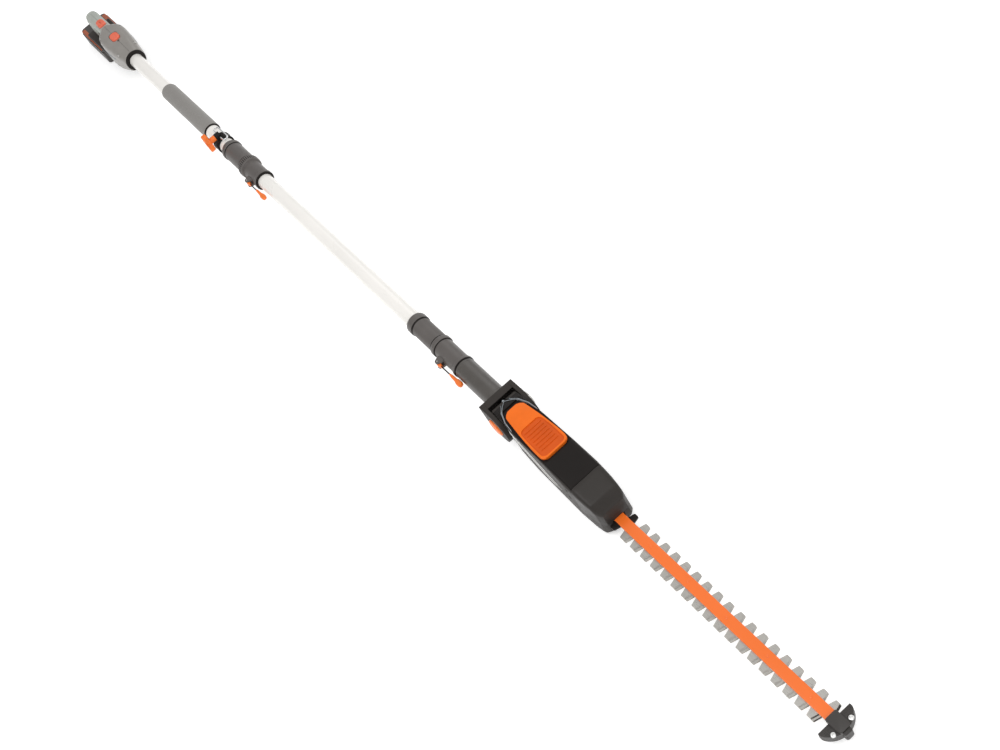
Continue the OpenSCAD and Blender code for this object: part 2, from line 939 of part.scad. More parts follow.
rear_tube();
handle_front_collar();
handle_shell_left();
handle_shell_right();
grip_cover();
handle_screws();
battery_dock();
terminal_block();
controller_board();
switch_module();
trigger();
trigger_pin();
trigger_spring();
lock_button();
power_button();
battery_case();
battery_lid();
battery_cells();
battery_latch();
foam_grip();
harness_clamp();
clamp_knob();
strap_ring();
rear_coupling();
rear_lever();
rear_lever_pin();
pole_lead();
mid_tube();
front_coupling();
front_lever();
front_lever_pin();
mid_lead();
neck();
yoke();
pivot_bolt();
tilt_button();
tilt_spring();
head_shell_left();
head_shell_right();
top_cover();
latch_tab();
latch_spring();
nose_cover();
head_screws();
motor_can();
motor_bearings();
motor_shaft();
pinion();
gear_plate();
gear_axle();
drive_gear();
cam_pair();
blade_rail();
upper_blade();
lower_blade();
blade_bolts();
root_stops();
tip_guard_top();
tip_guard_bottom();
tip_screws();
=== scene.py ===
"""Looks of a pole hedge trimmer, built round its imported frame.

Stations along the pole are in millimetres back from the first tooth of the cutter, and levels are
in millimetres above the pole's centre line. at() turns them into metres in the part's own frame.
"""

import math

import bmesh
import bpy
from bpy.props import FloatProperty, FloatVectorProperty, IntProperty, PointerProperty
from mathutils import Matrix, Vector, noise


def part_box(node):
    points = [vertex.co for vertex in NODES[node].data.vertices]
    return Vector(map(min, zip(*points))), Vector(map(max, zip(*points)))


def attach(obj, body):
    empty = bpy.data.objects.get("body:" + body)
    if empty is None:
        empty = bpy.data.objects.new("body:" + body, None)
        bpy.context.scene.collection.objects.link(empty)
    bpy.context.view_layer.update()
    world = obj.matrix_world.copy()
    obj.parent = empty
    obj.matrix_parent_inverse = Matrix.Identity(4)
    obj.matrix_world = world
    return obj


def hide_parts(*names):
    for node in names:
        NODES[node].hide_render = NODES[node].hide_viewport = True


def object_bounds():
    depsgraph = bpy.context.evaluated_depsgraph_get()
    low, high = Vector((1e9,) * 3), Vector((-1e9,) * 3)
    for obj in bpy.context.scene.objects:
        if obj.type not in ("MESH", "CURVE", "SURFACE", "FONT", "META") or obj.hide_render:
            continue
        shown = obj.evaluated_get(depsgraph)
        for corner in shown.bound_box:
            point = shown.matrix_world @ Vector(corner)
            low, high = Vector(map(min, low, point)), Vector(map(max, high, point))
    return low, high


bl_info = {
    "name": "Pole Hedge Trimmer",
    "version": (1, 0, 0),
    "blender": (4, 5, 0),
    "location": "View3D > Sidebar > Trimmer",
    "description": "Builds the finished surfaces of a pole hedge trimmer round its frame",
    "category": "Object",
}

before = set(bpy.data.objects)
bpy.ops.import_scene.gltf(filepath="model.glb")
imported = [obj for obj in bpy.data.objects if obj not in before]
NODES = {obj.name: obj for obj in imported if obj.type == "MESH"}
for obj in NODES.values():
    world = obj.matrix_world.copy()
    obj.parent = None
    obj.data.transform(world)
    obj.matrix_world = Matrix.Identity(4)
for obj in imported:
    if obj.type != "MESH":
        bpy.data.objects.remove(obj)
CAD_BOX = [list(corner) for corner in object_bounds()]
MM = 0.001
TIP_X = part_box("tip_guard_top")[1].x
TIP_REACH = 468
AXIS_Z = (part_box("mid_tube")[0].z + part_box("mid_tube")[1].z) / 2


def at(station, y=0.0, level=0.0):
    """A point in metres from a station, a distance to the left and a level, all in millimetres."""
    return Vector((TIP_X - (TIP_REACH + station) * MM, y * MM, AXIS_Z + level * MM))


def stations(node):
    """First and last station of a CAD node, in millimetres."""
    low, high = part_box(node)
    return (TIP_X - high.x) / MM - TIP_REACH, (TIP_X - low.x) / MM - TIP_REACH


def linear(code):
    """An sRGB hex colour as linear red, green and blue."""
    parts = [int(code[i:i + 2], 16) / 255 for i in (1, 3, 5)]
    return tuple(c / 12.92 if c <= 0.04045 else ((c + 0.055) / 1.055) ** 2.4 for c in parts)


# ---- meshes --------------------------------------------------------------------------------


def link_mesh(name, bm):
    """A mesh object at the origin from a bmesh, which is freed."""
    mesh = bpy.data.meshes.new(name)
    bm.to_mesh(mesh)
    bm.free()
    obj = bpy.data.objects.new(name, mesh)
    bpy.context.scene.collection.objects.link(obj)
    return obj


def new_object(name, bm, smooth_angle=35):
    """A welded mesh object with its normals outward, shaded smooth up to an angle in degrees."""
    bmesh.ops.remove_doubles(bm, verts=bm.verts, dist=1e-6)
    bmesh.ops.recalc_face_normals(bm, faces=bm.faces)
    obj = link_mesh(name, bm)
    shade(obj.data, smooth_angle)
    return obj


def shade(mesh, smooth_angle):
    """Smooth shading, with edges sharper than the angle in degrees kept crisp."""
    mesh.shade_smooth()
    mesh.set_sharp_from_angle(angle=math.radians(smooth_angle))


def apply_all(obj):
    """Turns the evaluated shape into the object's plain mesh and drops its modifiers."""
    bpy.context.view_layer.update()
    evaluated = obj.evaluated_get(bpy.context.evaluated_depsgraph_get())
    mesh = bpy.data.meshes.new_from_object(evaluated)
    mesh.name = obj.name
    obj.modifiers.clear()
    obj.data = mesh
    return obj


def modify(obj, kind, **settings):
    """Adds a modifier with its settings."""
    modifier = obj.modifiers.new(kind.title(), kind)
    for key, value in settings.items():
        setattr(modifier, key, value)
    return modifier


def remove(obj):
    bpy.data.objects.remove(obj)


def skin_rings(bm, rings, closed_ends=True, loop=False):
    """Quads between rings of points that all have the same count."""
    rows = [[bm.verts.new(p) for p in ring] for ring in rings]
    count = len(rows[0])
    pairs = list(zip(rows, rows[1:]))
    if loop:
        pairs.append((rows[-1], rows[0]))
    for a, b in pairs:
        for i in range(count):
            j = (i + 1) % count
            bm.faces.new((a[i], a[j], b[j], b[i]))
    if closed_ends and not loop:
        bm.faces.new(rows[0])
        bm.faces.new(rows[-1])


def lathe(name, profile, centre=(0, 0), segments=96, axis="X", smooth_angle=35, loop=False):
    """A turned piece: profile is (station or level, radius), in millimetres, round one axis."""
    rings = []
    for along, radius in profile:
        ring = []
        for k in range(segments):
            turn = 2 * math.pi * k / segments
            u = radius * math.cos(turn)
            v = radius * math.sin(turn)
            if axis == "X":
                ring.append(at(along, centre[0] + u, centre[1] + v))
            elif axis == "Y":
                ring.append(at(centre[0] + u, along, centre[1] + v))
            else:
                ring.append(at(centre[0] + u, centre[1] + v, along))
        rings.append(ring)
    bm = bmesh.new()
    skin_rings(bm, rings, loop=loop)
    return new_object(name, bm, smooth_angle)


def rounded(along, radius, edge, inward, steps=5):
    """Profile points that round one rim. inward is +1 where the piece lies at greater stations."""
    points = []
    for i in range(steps + 1):
        turn = math.pi / 2 * i / steps
        points.append((along + inward * edge * (1 - math.sin(turn)), radius - edge * (1 - math.cos(turn))))
    return points if inward < 0 else points[::-1]


def sleeve(front, back, outer, inner, edge=0.8):
    """Closed profile of a tube wall with rounded outer rims, for lathe(loop=True)."""
    front_rim = [(front, outer - edge)] + rounded(front, outer, edge, 1)[1:]
    back_rim = rounded(back, outer, edge, -1)[:-1] + [(back, outer - edge)]
    return [(front, inner)] + front_rim + back_rim + [(back, inner)]


def ease(table, where):
    """A smooth value at `where` from a rising table of (station, value, ...) rows."""
    if where <= table[0][0]:
        return table[0][1:]
    for a, b in zip(table, table[1:]):
        if where <= b[0]:
            t = (where - a[0]) / (b[0] - a[0])
            return tuple(p + (q - p) * t for p, q in zip(a[1:], b[1:]))
    return table[-1][1:]


def prism(name, outline, low, high, plane="XY", bevel=0.6, segments=3, smooth_angle=35):
    """An outline pushed from low to high. XY outlines are (station, y); XZ ones are (station, level)."""
    bm = bmesh.new()
    ends = []
    for depth in (low, high):
        ring = []
        for u, v in outline:
            point = at(u, v, depth) if plane == "XY" else at(u, depth, v)
            ring.append(bm.verts.new(point))
        ends.append(ring)
    for i in range(len(outline)):
        j = (i + 1) % len(outline)
        bm.faces.new((ends[0][i], ends[0][j], ends[1][j], ends[1][i]))
    caps = [bm.faces.new(ends[0]), bm.faces.new(ends[1])]
    if bevel:
        rim = [e for cap in caps for e in cap.edges]
        bmesh.ops.bevel(bm, geom=rim, offset=bevel * MM, segments=segments, profile=0.5, affect="EDGES")
    return new_object(name, bm, smooth_angle)


def arc(cu, cv, radius, start, end, steps=8):
    """Points along an arc, angles in degrees."""
    turns = [math.radians(start + (end - start) * i / steps) for i in range(steps + 1)]
    return [(cu + radius * math.cos(t), cv + radius * math.sin(t)) for t in turns]


def round_box_outline(front, back, v_low, v_high, radius, steps=6):
    """A rectangle with round corners, from its two stations and its two levels or sides."""
    return (
        arc(back - radius, v_high - radius, radius, 0, 90, steps)
        + arc(front + radius, v_high - radius, radius, 90, 180, steps)
        + arc(front + radius, v_low + radius, radius, 180, 270, steps)
        + arc(back - radius, v_low + radius, radius, 270, 360, steps)
    )


def round_corners(outline, radius, steps=5):
    """The outline with every corner rounded."""
    points = []
    count = len(outline)
    for i in range(count):
        corner = Vector(outline[i])
        before = Vector(outline[i - 1]) - corner
        after = Vector(outline[(i + 1) % count]) - corner
        cut = min(radius, before.length * 0.45, after.length * 0.45)
        start = corner + before.normalized() * cut
        end = corner + after.normalized() * cut
        for k in range(steps + 1):
            t = k / steps
            points.append(tuple(start * (1 - t) ** 2 + corner * 2 * t * (1 - t) + end * t ** 2))
    return points


def join(name, parts):
    """One object from several, with the first one's name replaced."""
    bm = bmesh.new()
    for part in parts:
        bm.from_mesh(part.data)
        remove(part)
    return link_mesh(name, bm)


def cut(obj, *cutters, operation="DIFFERENCE"):
    """Cuts closed pieces out of a closed piece, or joins them to it."""
    for cutter in cutters:
        modify(obj, "BOOLEAN", object=cutter, operation=operation, solver="EXACT")
    apply_all(obj)
    for cutter in cutters:
        remove(cutter)
    return obj


def remesh(obj, voxel, rounds, factor=0.5):
    """Blends joined solids into one moulded skin with soft edges."""
    modify(obj, "REMESH", mode="VOXEL", voxel_size=voxel * MM, use_smooth_shade=True)
    modify(obj, "SMOOTH", factor=factor, iterations=rounds)
    return apply_all(obj)


def skin_part(source, name, keep, planes, wall, smooth_angle=40):
    """The part of a closed skin where keep(x, y, z) holds, cut clean at planes, given a wall inwards.

    keep works in the frame's metres; planes are (point, normal).
    """
    bm = bmesh.new()
    bm.from_mesh(source.data)
    for point, normal in planes:
        geom = bm.verts[:] + bm.edges[:] + bm.faces[:]
        bmesh.ops.bisect_plane(bm, geom=geom, plane_co=point, plane_no=normal, dist=1e-6)
    gone = [f for f in bm.faces if not keep(f.calc_center_median())]
    bmesh.ops.delete(bm, geom=gone, context="FACES")
    bmesh.ops.recalc_face_normals(bm, faces=bm.faces)
    obj = link_mesh(name, bm)
    modify(obj, "SOLIDIFY", thickness=wall * MM, offset=-1, use_even_offset=False)
    apply_all(obj)
    shade(obj.data, smooth_angle)
    return obj


# ---- geometry nodes ------------------------------------------------------------------------


def add(tree, kind, settings=None, links=None):
    """Adds a node with its settings and its links. A link is a socket, or a plain value."""
    node = tree.nodes.new(kind)
    for key, value in (settings or {}).items():
        setattr(node, key, value)
    for key, value in (links or {}).items():
        socket = node.inputs[key]
        if isinstance(value, bpy.types.NodeSocket):
            tree.links.new(value, socket)
        else:
            socket.default_value = value
    return node


def repeat_tree():
    """Repeats the object's own mesh in a row, in a ring or both: each copy is moved and turned on."""
    tree = bpy.data.node_groups.new("Repeat in a row or ring", "GeometryNodeTree")
    face = tree.interface
    face.new_socket("Geometry", in_out="INPUT", socket_type="NodeSocketGeometry")
    face.new_socket("Count", in_out="INPUT", socket_type="NodeSocketInt")
    for label in ("Start", "Step", "Turn", "Turn Step"):
        face.new_socket(label, in_out="INPUT", socket_type="NodeSocketVector")
    face.new_socket("Material", in_out="INPUT", socket_type="NodeSocketMaterial")
    face.new_socket("Geometry", in_out="OUTPUT", socket_type="NodeSocketGeometry")
    source = add(tree, "NodeGroupInput").outputs
    line = add(tree, "GeometryNodeMeshLine", {"mode": "OFFSET"}, {
        "Count": source["Count"], "Start Location": source["Start"], "Offset": source["Step"],
    })
    index = add(tree, "GeometryNodeInputIndex")
    scaled = add(tree, "ShaderNodeVectorMath", {"operation": "SCALE"}, {
        0: source["Turn Step"], "Scale": index.outputs[0],
    })
    turned = add(tree, "ShaderNodeVectorMath", {"operation": "ADD"}, {
        0: source["Turn"], 1: scaled.outputs[0],
    })
    copies = add(tree, "GeometryNodeInstanceOnPoints", None, {
        "Points": line.outputs[0], "Instance": source["Geometry"], "Rotation": turned.outputs[0],
    })
    real = add(tree, "GeometryNodeRealizeInstances", None, {"Geometry": copies.outputs[0]})
    painted = add(tree, "GeometryNodeSetMaterial", None, {
        "Geometry": real.outputs[0], "Material": source["Material"],
    })
    add(tree, "NodeGroupOutput", None, {"Geometry": painted.outputs[0]})
    return tree


def repeat(unit, count, start, step=(0, 0, 0), turn=(0, 0, 0), turn_step=(0, 0, 0), finish=None):
    """Repeats a unit mesh, which is built about the origin, and leaves a plain mesh."""
    tree = bpy.data.node_groups.get("Repeat in a row or ring") or repeat_tree()
    modifier = unit.modifiers.new("Repeat", "NODES")
    modifier.node_group = tree
    values = {
        "Count": count, "Start": tuple(start), "Step": tuple(step),
        "Turn": tuple(math.radians(a) for a in turn),
        "Turn Step": tuple(math.radians(a) for a in turn_step), "Material": finish,
    }
    for socket in tree.interface.items_tree:
        if socket.in_out == "INPUT" and socket.name in values:
            modifier[socket.identifier] = values[socket.name]
    return apply_all(unit)


def unit_block(name, outline, height, top_inset=0.0, bevel=0.3):
    """A small block about the origin, in millimetres: an outline in x and y, with a narrower top."""
    bm = bmesh.new()
    count = len(outline)
    low = [bm.verts.new(Vector((x, y, 0)) * MM) for x, y in outline]
    high = [bm.verts.new(Vector((x * (1 - top_inset), y, height)) * MM) for x, y in outline]
    for i in range(count):
        j = (i + 1) % count
        bm.faces.new((low[i], low[j], high[j], high[i]))
    bm.faces.new(low)
    cap = bm.faces.new(high)
    if bevel:
        bmesh.ops.bevel(bm, geom=list(cap.edges), offset=bevel * MM, segments=2, profile=0.5,
                        affect="EDGES")
    return new_object(name, bm)


# ---- finishes ------------------------------------------------------------------------------


def blank_material(name):
    material = bpy.data.materials.new(name)
    material.use_nodes = True
    material.node_tree.nodes.clear()
    return material, material.node_tree


def close_material(tree, surface, bumps):
    """Chains height sockets into one normal and plugs the surface in. bumps are (height, mm)."""
    normal = None
    for height, depth in bumps:
        links = {"Height": height, "Distance": depth * MM, "Strength": 1.0}
        if normal:
            links["Normal"] = normal
        normal = add(tree, "ShaderNodeBump", None, links).outputs[0]
    if normal:
        tree.links.new(normal, surface.inputs["Normal"])
    add(tree, "ShaderNodeOutputMaterial", None, {"Surface": surface.outputs[0]})


def grain(tree, size, stretch=(1, 1, 1), detail=3.0, roughness=0.55):
    """Noise on object coordinates with features `size` millimetres across."""
    where = add(tree, "ShaderNodeTexCoord").outputs["Object"]
    mapping = add(tree, "ShaderNodeMapping", None, {"Vector": where, "Scale": stretch})
    return add(tree, "ShaderNodeTexNoise", None, {
        "Vector": mapping.outputs[0], "Scale": 1 / (size * MM), "Detail": detail,
        "Roughness": roughness,
    }).outputs[0]


def ramp(tree, factor, low, high, from_low=0.3, from_high=0.7):
    """Maps a noise value onto a range."""
    return add(tree, "ShaderNodeMapRange", None, {
        "Value": factor, "From Min": from_low, "From Max": from_high, "To Min": low, "To Max": high,
    }).outputs[0]


def tint(tree, factor, colour, other):
    """A colour that drifts between two close shades."""
    return add(tree, "ShaderNodeMix", {"data_type": "RGBA"}, {
        "Factor": factor, 6: (*colour, 1), 7: (*other, 1),
    }).outputs[2]


def shift(colour, amount):
    """A lighter or darker shade of a colour."""
    return tuple(min(1.0, max(0.0, c * amount)) for c in colour)


def moulded(name, colour, rough=0.5, texture=0.35, depth=0.03, specular=0.5, coat=0.0):
    """Injection-moulded plastic: spark-eroded tool texture gives a fine even sparkle, and handling
    leaves slow changes of gloss over a few centimetres."""
    material, tree = blank_material(name)
    fine = grain(tree, texture, detail=2.0)
    slow = grain(tree, 38, detail=3.0)
    scuff = grain(tree, 9, stretch=(0.35, 1, 1), detail=5.0, roughness=0.7)
    body = tint(tree, ramp(tree, slow, 0.0, 1.0), shift(colour, 0.93), shift(colour, 1.07))
    gloss = add(tree, "ShaderNodeMath", {"operation": "ADD"}, {
        0: ramp(tree, slow, rough - 0.06, rough + 0.06), 1: ramp(tree, scuff, -0.05, 0.05),
    }).outputs[0]
    surface = add(tree, "ShaderNodeBsdfPrincipled", None, {
        "Base Color": body, "Roughness": gloss, "IOR": 1.53, "Specular IOR Level": specular,
        "Coat Weight": coat, "Coat Roughness": 0.25,
    })
    close_material(tree, surface, [(fine, depth), (slow, 0.12)])
    return material


def enamel(name, colour, rough=0.28):
    """Powder enamel baked on metal tube or strip: a thick glossy skin with a faint orange-peel
    ripple a few millimetres across and small rubbed patches."""
    material, tree = blank_material(name)
    peel = grain(tree, 2.6, detail=1.0)
    slow = grain(tree, 60, stretch=(0.4, 1, 1), detail=2.0)
    rub = grain(tree, 5, stretch=(0.2, 1, 1), detail=6.0, roughness=0.75)
    body = tint(tree, ramp(tree, slow, 0.0, 1.0), shift(colour, 0.965), shift(colour, 1.02))
    gloss = add(tree, "ShaderNodeMath", {"operation": "ADD"}, {
        0: ramp(tree, slow, rough - 0.04, rough + 0.05), 1: ramp(tree, rub, 0.0, 0.12, 0.55, 0.75),
    }).outputs[0]
    surface = add(tree, "ShaderNodeBsdfPrincipled", None, {
        "Base Color": body, "Roughness": gloss, "IOR": 1.5, "Coat Weight": 0.35,
        "Coat Roughness": 0.12,
    })
    close_material(tree, surface, [(peel, 0.02)])
    return material


def ground(name, colour, rough=0.3, along=(0.04, 1, 1), depth=0.008):
    """Ground steel: parallel grinding lines half a millimetre apart streak the highlights, and a
    film of sap and oil dulls it in patches."""
    material, tree = blank_material(name)
    lines = grain(tree, 0.5, stretch=along, detail=4.0, roughness=0.7)
    film = grain(tree, 16, detail=4.0, roughness=0.65)
    body = tint(tree, ramp(tree, film, 0.0, 1.0, 0.4, 0.7), colour, shift(colour, 0.82))
    gloss = add(tree, "ShaderNodeMath", {"operation": "ADD"}, {
        0: ramp(tree, lines, rough - 0.07, rough + 0.08), 1: ramp(tree, film, 0.0, 0.12, 0.45, 0.7),
    }).outputs[0]
    surface = add(tree, "ShaderNodeBsdfPrincipled", None, {
        "Base Color": body, "Metallic": 1.0, "Roughness": gloss,
    })
    close_material(tree, surface, [(lines, depth)])
    return material


def closed_cell_foam(name, colour):
    """Closed-cell foam with its cut skin: open pores under a millimetre across, no gloss, and a
    dusty bloom where the light grazes."""
    material, tree = blank_material(name)
    where = add(tree, "ShaderNodeTexCoord").outputs["Object"]
    pores = add(tree, "ShaderNodeTexVoronoi", {"feature": "SMOOTH_F1"}, {
        "Vector": where, "Scale": 1 / (1.1 * MM), "Smoothness": 0.4, "Randomness": 1.0,
    }).outputs["Distance"]
    slow = grain(tree, 22, detail=4.0)
    fine = grain(tree, 0.6, detail=3.0)
    speck = tint(tree, ramp(tree, pores, 0.0, 1.0, 0.15, 0.6), shift(colour, 1.06), shift(colour, 0.86))
    body = add(tree, "ShaderNodeMix", {"data_type": "RGBA", "blend_type": "MULTIPLY"}, {
        "Factor": 0.35, 6: speck, 7: tint(tree, slow, (0.8, 0.8, 0.8), (1, 1, 1)),
    }).outputs[2]
    surface = add(tree, "ShaderNodeBsdfPrincipled", None, {
        "Base Color": body, "Roughness": 0.92, "IOR": 1.45, "Sheen Weight": 0.25,
        "Sheen Roughness": 0.5, "Specular IOR Level": 0.25,
    })
    close_material(tree, surface, [(pores, 0.18), (fine, 0.06)])
    return material


def soft_rubber(name, colour, rough=0.62):
    """Moulded soft rubber: dull, with a fine stipple."""
    return moulded(name, colour, rough=rough, texture=0.6, depth=0.05, specular=0.35)


FINISHES = {}


def make_finishes(colours):
    """Every finish once: the record's slots, then the shades that single pieces have instead."""
    FINISHES.update({
        "tube_enamel": enamel("White powder enamel on aluminium tube", tuple(colours.tube)),
        "rail_enamel": enamel("Orange enamel on steel strip", tuple(colours.rail), 0.36),
        "charcoal_nylon": moulded("Charcoal glass-filled nylon moulded", tuple(colours.charcoal), 0.48,
                                  specular=0.15),
        "dark_nylon": moulded("Dark grey glass-filled nylon moulded", tuple(colours.dark), 0.46),
        "black_nylon": moulded("Black nylon moulded", tuple(colours.black), 0.5, specular=0.16),
        "grey_nylon": moulded("Mid grey nylon moulded", tuple(colours.grey), 0.44),
        "soft_grip": soft_rubber("Pale grey elastomer overmould", tuple(colours.pale)),
        "orange_plastic": moulded("Orange acetal moulded", tuple(colours.orange), 0.38, 0.5, 0.015, 0.3),
        "battery_shell": moulded("Charcoal polycarbonate battery case", tuple(colours.charcoal), 0.4),
        "battery_rail": moulded("Burnt orange polycarbonate moulded", tuple(colours.burnt), 0.4),
        "cell_sleeve": moulded("Shrink sleeve on cells", linear("#2f6f6a"), 0.3),
        "circuit_board": moulded("Lacquered glass-epoxy board", linear("#2e6b3e"), 0.3),
        "cable_jacket": soft_rubber("Rubber cable jacket", linear("#1d1b1a"), 0.55),
        "foam": closed_cell_foam("Closed-cell foam sleeve", tuple(colours.foam)),
        "chrome_wire": ground("Bright nickel-plated wire", linear("#e2e2e2"), 0.12, (1, 1, 1), 0.002),
        "steel_fastener": ground("Zinc-plated steel", linear("#c9c7c3"), 0.3, (1, 1, 1), 0.006),
        "spring_steel": ground("Drawn spring wire", linear("#9c9a96"), 0.3, (1, 1, 1), 0.004),
        "motor_steel": ground("Drawn steel can", linear("#8c8a86"), 0.35, (1, 1, 0.1), 0.006),
        "ground_steel": ground("Ground nickel-plated blade steel", tuple(colours.steel), 0.3),
        "cast_aluminium": ground("Die-cast aluminium", linear("#a8a6a1"), 0.5, (1, 1, 1), 0.03),
        "neck_grey": moulded("Mid-dark grey nylon moulded", tuple(colours.neck), 0.4),
        "nose_grey": moulded("Dark grey nylon cover", tuple(colours.nose), 0.46, specular=0.25),
        "handle_shell": moulded("Grey painted nylon housing", tuple(colours.grey), 0.36),
        # Pale beads on the head's flanks: painted highlight along the shell seams.
        "flank_painted_highlight": moulded("Pale grey satin trim bead", linear("#dcdbd7"), 0.35),
        # The finger hollow's orange is darker than the tab's: painted shade in the recess.
        "hollow_painted_shade_orange": moulded("Orange acetal in the finger hollow", linear("#cf5410"), 0.45, specular=0.2),
        "guard_nylon": moulded("Charcoal nylon of the tip guard", shift(tuple(colours.charcoal), 0.95), 0.5),
        "zinc_white": ground("Bright zinc screw", linear("#f0f0ee"), 0.35, (1, 1, 1), 0.004),
        "button_red": moulded("Red-orange acetal button", linear("#e2674a"), 0.36, 0.5, 0.015),
        "latch_orange": moulded("Deep orange acetal latch tab", linear("#ea6c18"), 0.42, 0.5, 0.015, 0.2),
        # Silver-grey trim of the latch arch; on the housing shoulders the same finish is painted highlight.
        "silver_trim_and_painted_highlight": moulded("Silver-grey painted nylon trim", linear("#8f969b"), 0.28, 0.4, 0.01, 0.6, 0.4),
    })


def finish_piece(obj, body, slot, replaced=(), finish=None):
    """Gives the piece its finish, sets it on its body and lets it stand for its CAD nodes."""
    obj.data.materials.clear()
    obj.data.materials.append(FINISHES[finish or slot])
    obj.data.validate()
    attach(obj, body)
    if replaced:
        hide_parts(*replaced)
    return obj


def second_finish(obj, finish, belongs):
    """Gives the faces whose centre belongs(point) a second finish, for a part moulded in two tones."""
    obj.data.materials.append(FINISHES[finish])
    index = len(obj.data.materials) - 1
    for face in obj.data.polygons:
        if belongs(face.center):
            face.material_index = index


# ---- shapes used by several pieces ---------------------------------------------------------


def soft_ring(station, half_w, top, low, r_top, r_low, crown=0.0, y=0.0, steps=7):
    """An upright section across the pole with four rounded corners and a slightly crowned top."""
    r_top = min(r_top, half_w * 0.98, (top - low) * 0.49)
    r_low = min(r_low, half_w * 0.98, (top - low) * 0.49)
    points = []
    for cy, cz, r, start in (
        (half_w - r_top, top - r_top, r_top, 0), (r_top - half_w, top - r_top, r_top, 90),
        (r_low - half_w, low + r_low, r_low, 180), (half_w - r_low, low + r_low, r_low, 270),
    ):
        points += arc(cy, cz, r, start, start + 90, steps)
    ring = []
    for i, (u, v) in enumerate(points):
        ring.append((u, v))
        if (i + 1) % (steps + 1) == 0:
            u2, v2 = points[(i + 1) % len(points)]
            ring += [(u + (u2 - u) * k / 8, v + (v2 - v) * k / 8) for k in range(1, 8)]
    lift = [crown * max(0.0, 1 - (u / half_w) ** 2) * max(0.0, (v - low) / (top - low)) ** 4 for u, v in ring]
    return [at(station, y + u, v + h) for (u, v), h in zip(ring, lift)]


def moulding(name, rows, crown=0.0, y=0.0, step=3.0, smooth_angle=40):
    """A body lofted along the pole. rows are (station, half width, top, bottom, top and bottom
    corner radius), rising in station."""
    first, last = rows[0][0], rows[-1][0]
    count = max(2, int((last - first) / step))
    marks = sorted({row[0] for row in rows} | {first + (last - first) * i / count for i in range(count + 1)})
    bm = bmesh.new()
    skin_rings(bm, [soft_ring(b, *ease(rows, b), crown, y) for b in marks])
    return new_object(name, bm, smooth_angle)


def bead(name, path, radii, sides=12):
    """A rounded strip along a path of points in metres. radii are its half thicknesses in mm."""
    rings = []
    for i, point in enumerate(path):
        along = (path[min(i + 1, len(path) - 1)] - path[max(i - 1, 0)]).normalized()
        side = along.cross(Vector((0, 0, 1))).normalized()
        up = side.cross(along)
        ring = []
        for k in range(sides):
            turn = 2 * math.pi * k / sides
            ring.append(point + (side * math.cos(turn) + up * math.sin(turn)) * radii[i] * MM)
        rings.append(ring)
    bm = bmesh.new()
    skin_rings(bm, rings)
    return new_object(name, bm, 60)


def upright_box(name, front, back, y0, y1, low, high, radius=2.0, bevel=0.6):
    """A box with round upright edges and eased top and bottom rims."""
    return prism(name, round_box_outline(front, back, y0, y1, radius), low, high, "XY", bevel)


def screw_unit(name, radius=3.2, height=1.2, axis="Y"):
    """A pan-head screw with a cross recess, built about the origin and pointing along one axis."""
    bm = bmesh.new()
    rings = []
    for h, r in ((0, radius), (height * 0.5, radius), (height * 0.85, radius * 0.86), (height, radius * 0.6)):
        turns = [2 * math.pi * k / 24 for k in range(24)]
        rings.append([Vector((r * math.cos(t), r * math.sin(t), h)) * MM for t in turns])
    skin_rings(bm, rings)
    head = new_object(name, bm)
    for turn in (0, 90):
        cross = bmesh.new()
        spread = Matrix.Diagonal((radius * 1.1 * MM, radius * 0.28 * MM, height * MM, 1))
        spin = Matrix.Rotation(math.radians(turn + 20), 4, "Z")
        bmesh.ops.create_cube(cross, size=1, matrix=Matrix.Translation((0, 0, height * MM)) @ spin @ spread)
        cut(head, new_object(name + "_slot", cross))
    if axis == "Y":
        head.data.transform(Matrix.Rotation(math.radians(90), 4, "X"))
    if axis == "-Z":
        head.data.transform(Matrix.Rotation(math.radians(180), 4, "X"))
    return head


def place_on_points(name, unit, points):
    """One plain mesh with a copy of the unit mesh at every point."""
    bm = bmesh.new()
    for point in points:
        bm.verts.new(point)
    holder = link_mesh(name, bm)
    tree = bpy.data.node_groups.get("Copy onto points") or point_tree()
    modifier = holder.modifiers.new("Copies", "NODES")
    modifier.node_group = tree
    for socket in tree.interface.items_tree:
        if socket.in_out == "INPUT" and socket.name == "Unit":
            modifier[socket.identifier] = unit
    apply_all(holder)
    remove(unit)
    shade(holder.data, 35)
    return holder


def point_tree():
    """Copies one object's mesh onto every point of the mesh that carries the modifier."""
    tree = bpy.data.node_groups.new("Copy onto points", "GeometryNodeTree")
    tree.interface.new_socket("Geometry", in_out="INPUT", socket_type="NodeSocketGeometry")
    tree.interface.new_socket("Unit", in_out="INPUT", socket_type="NodeSocketObject")
    tree.interface.new_socket("Material", in_out="INPUT", socket_type="NodeSocketMaterial")
    tree.interface.new_socket("Geometry", in_out="OUTPUT", socket_type="NodeSocketGeometry")
    source = add(tree, "NodeGroupInput").outputs
    unit = add(tree, "GeometryNodeObjectInfo", None, {"Object": source["Unit"]})
    copies = add(tree, "GeometryNodeInstanceOnPoints", None, {
        "Points": source["Geometry"], "Instance": unit.outputs["Geometry"],
    })
    real = add(tree, "GeometryNodeRealizeInstances", None, {"Geometry": copies.outputs[0]})
    painted = add(tree, "GeometryNodeSetMaterial", None, {
        "Geometry": real.outputs[0], "Material": source["Material"],
    })
    add(tree, "NodeGroupOutput", None, {"Geometry": painted.outputs[0]})
    return tree


# ---- stations taken from the frame ---------------------------------------------------------

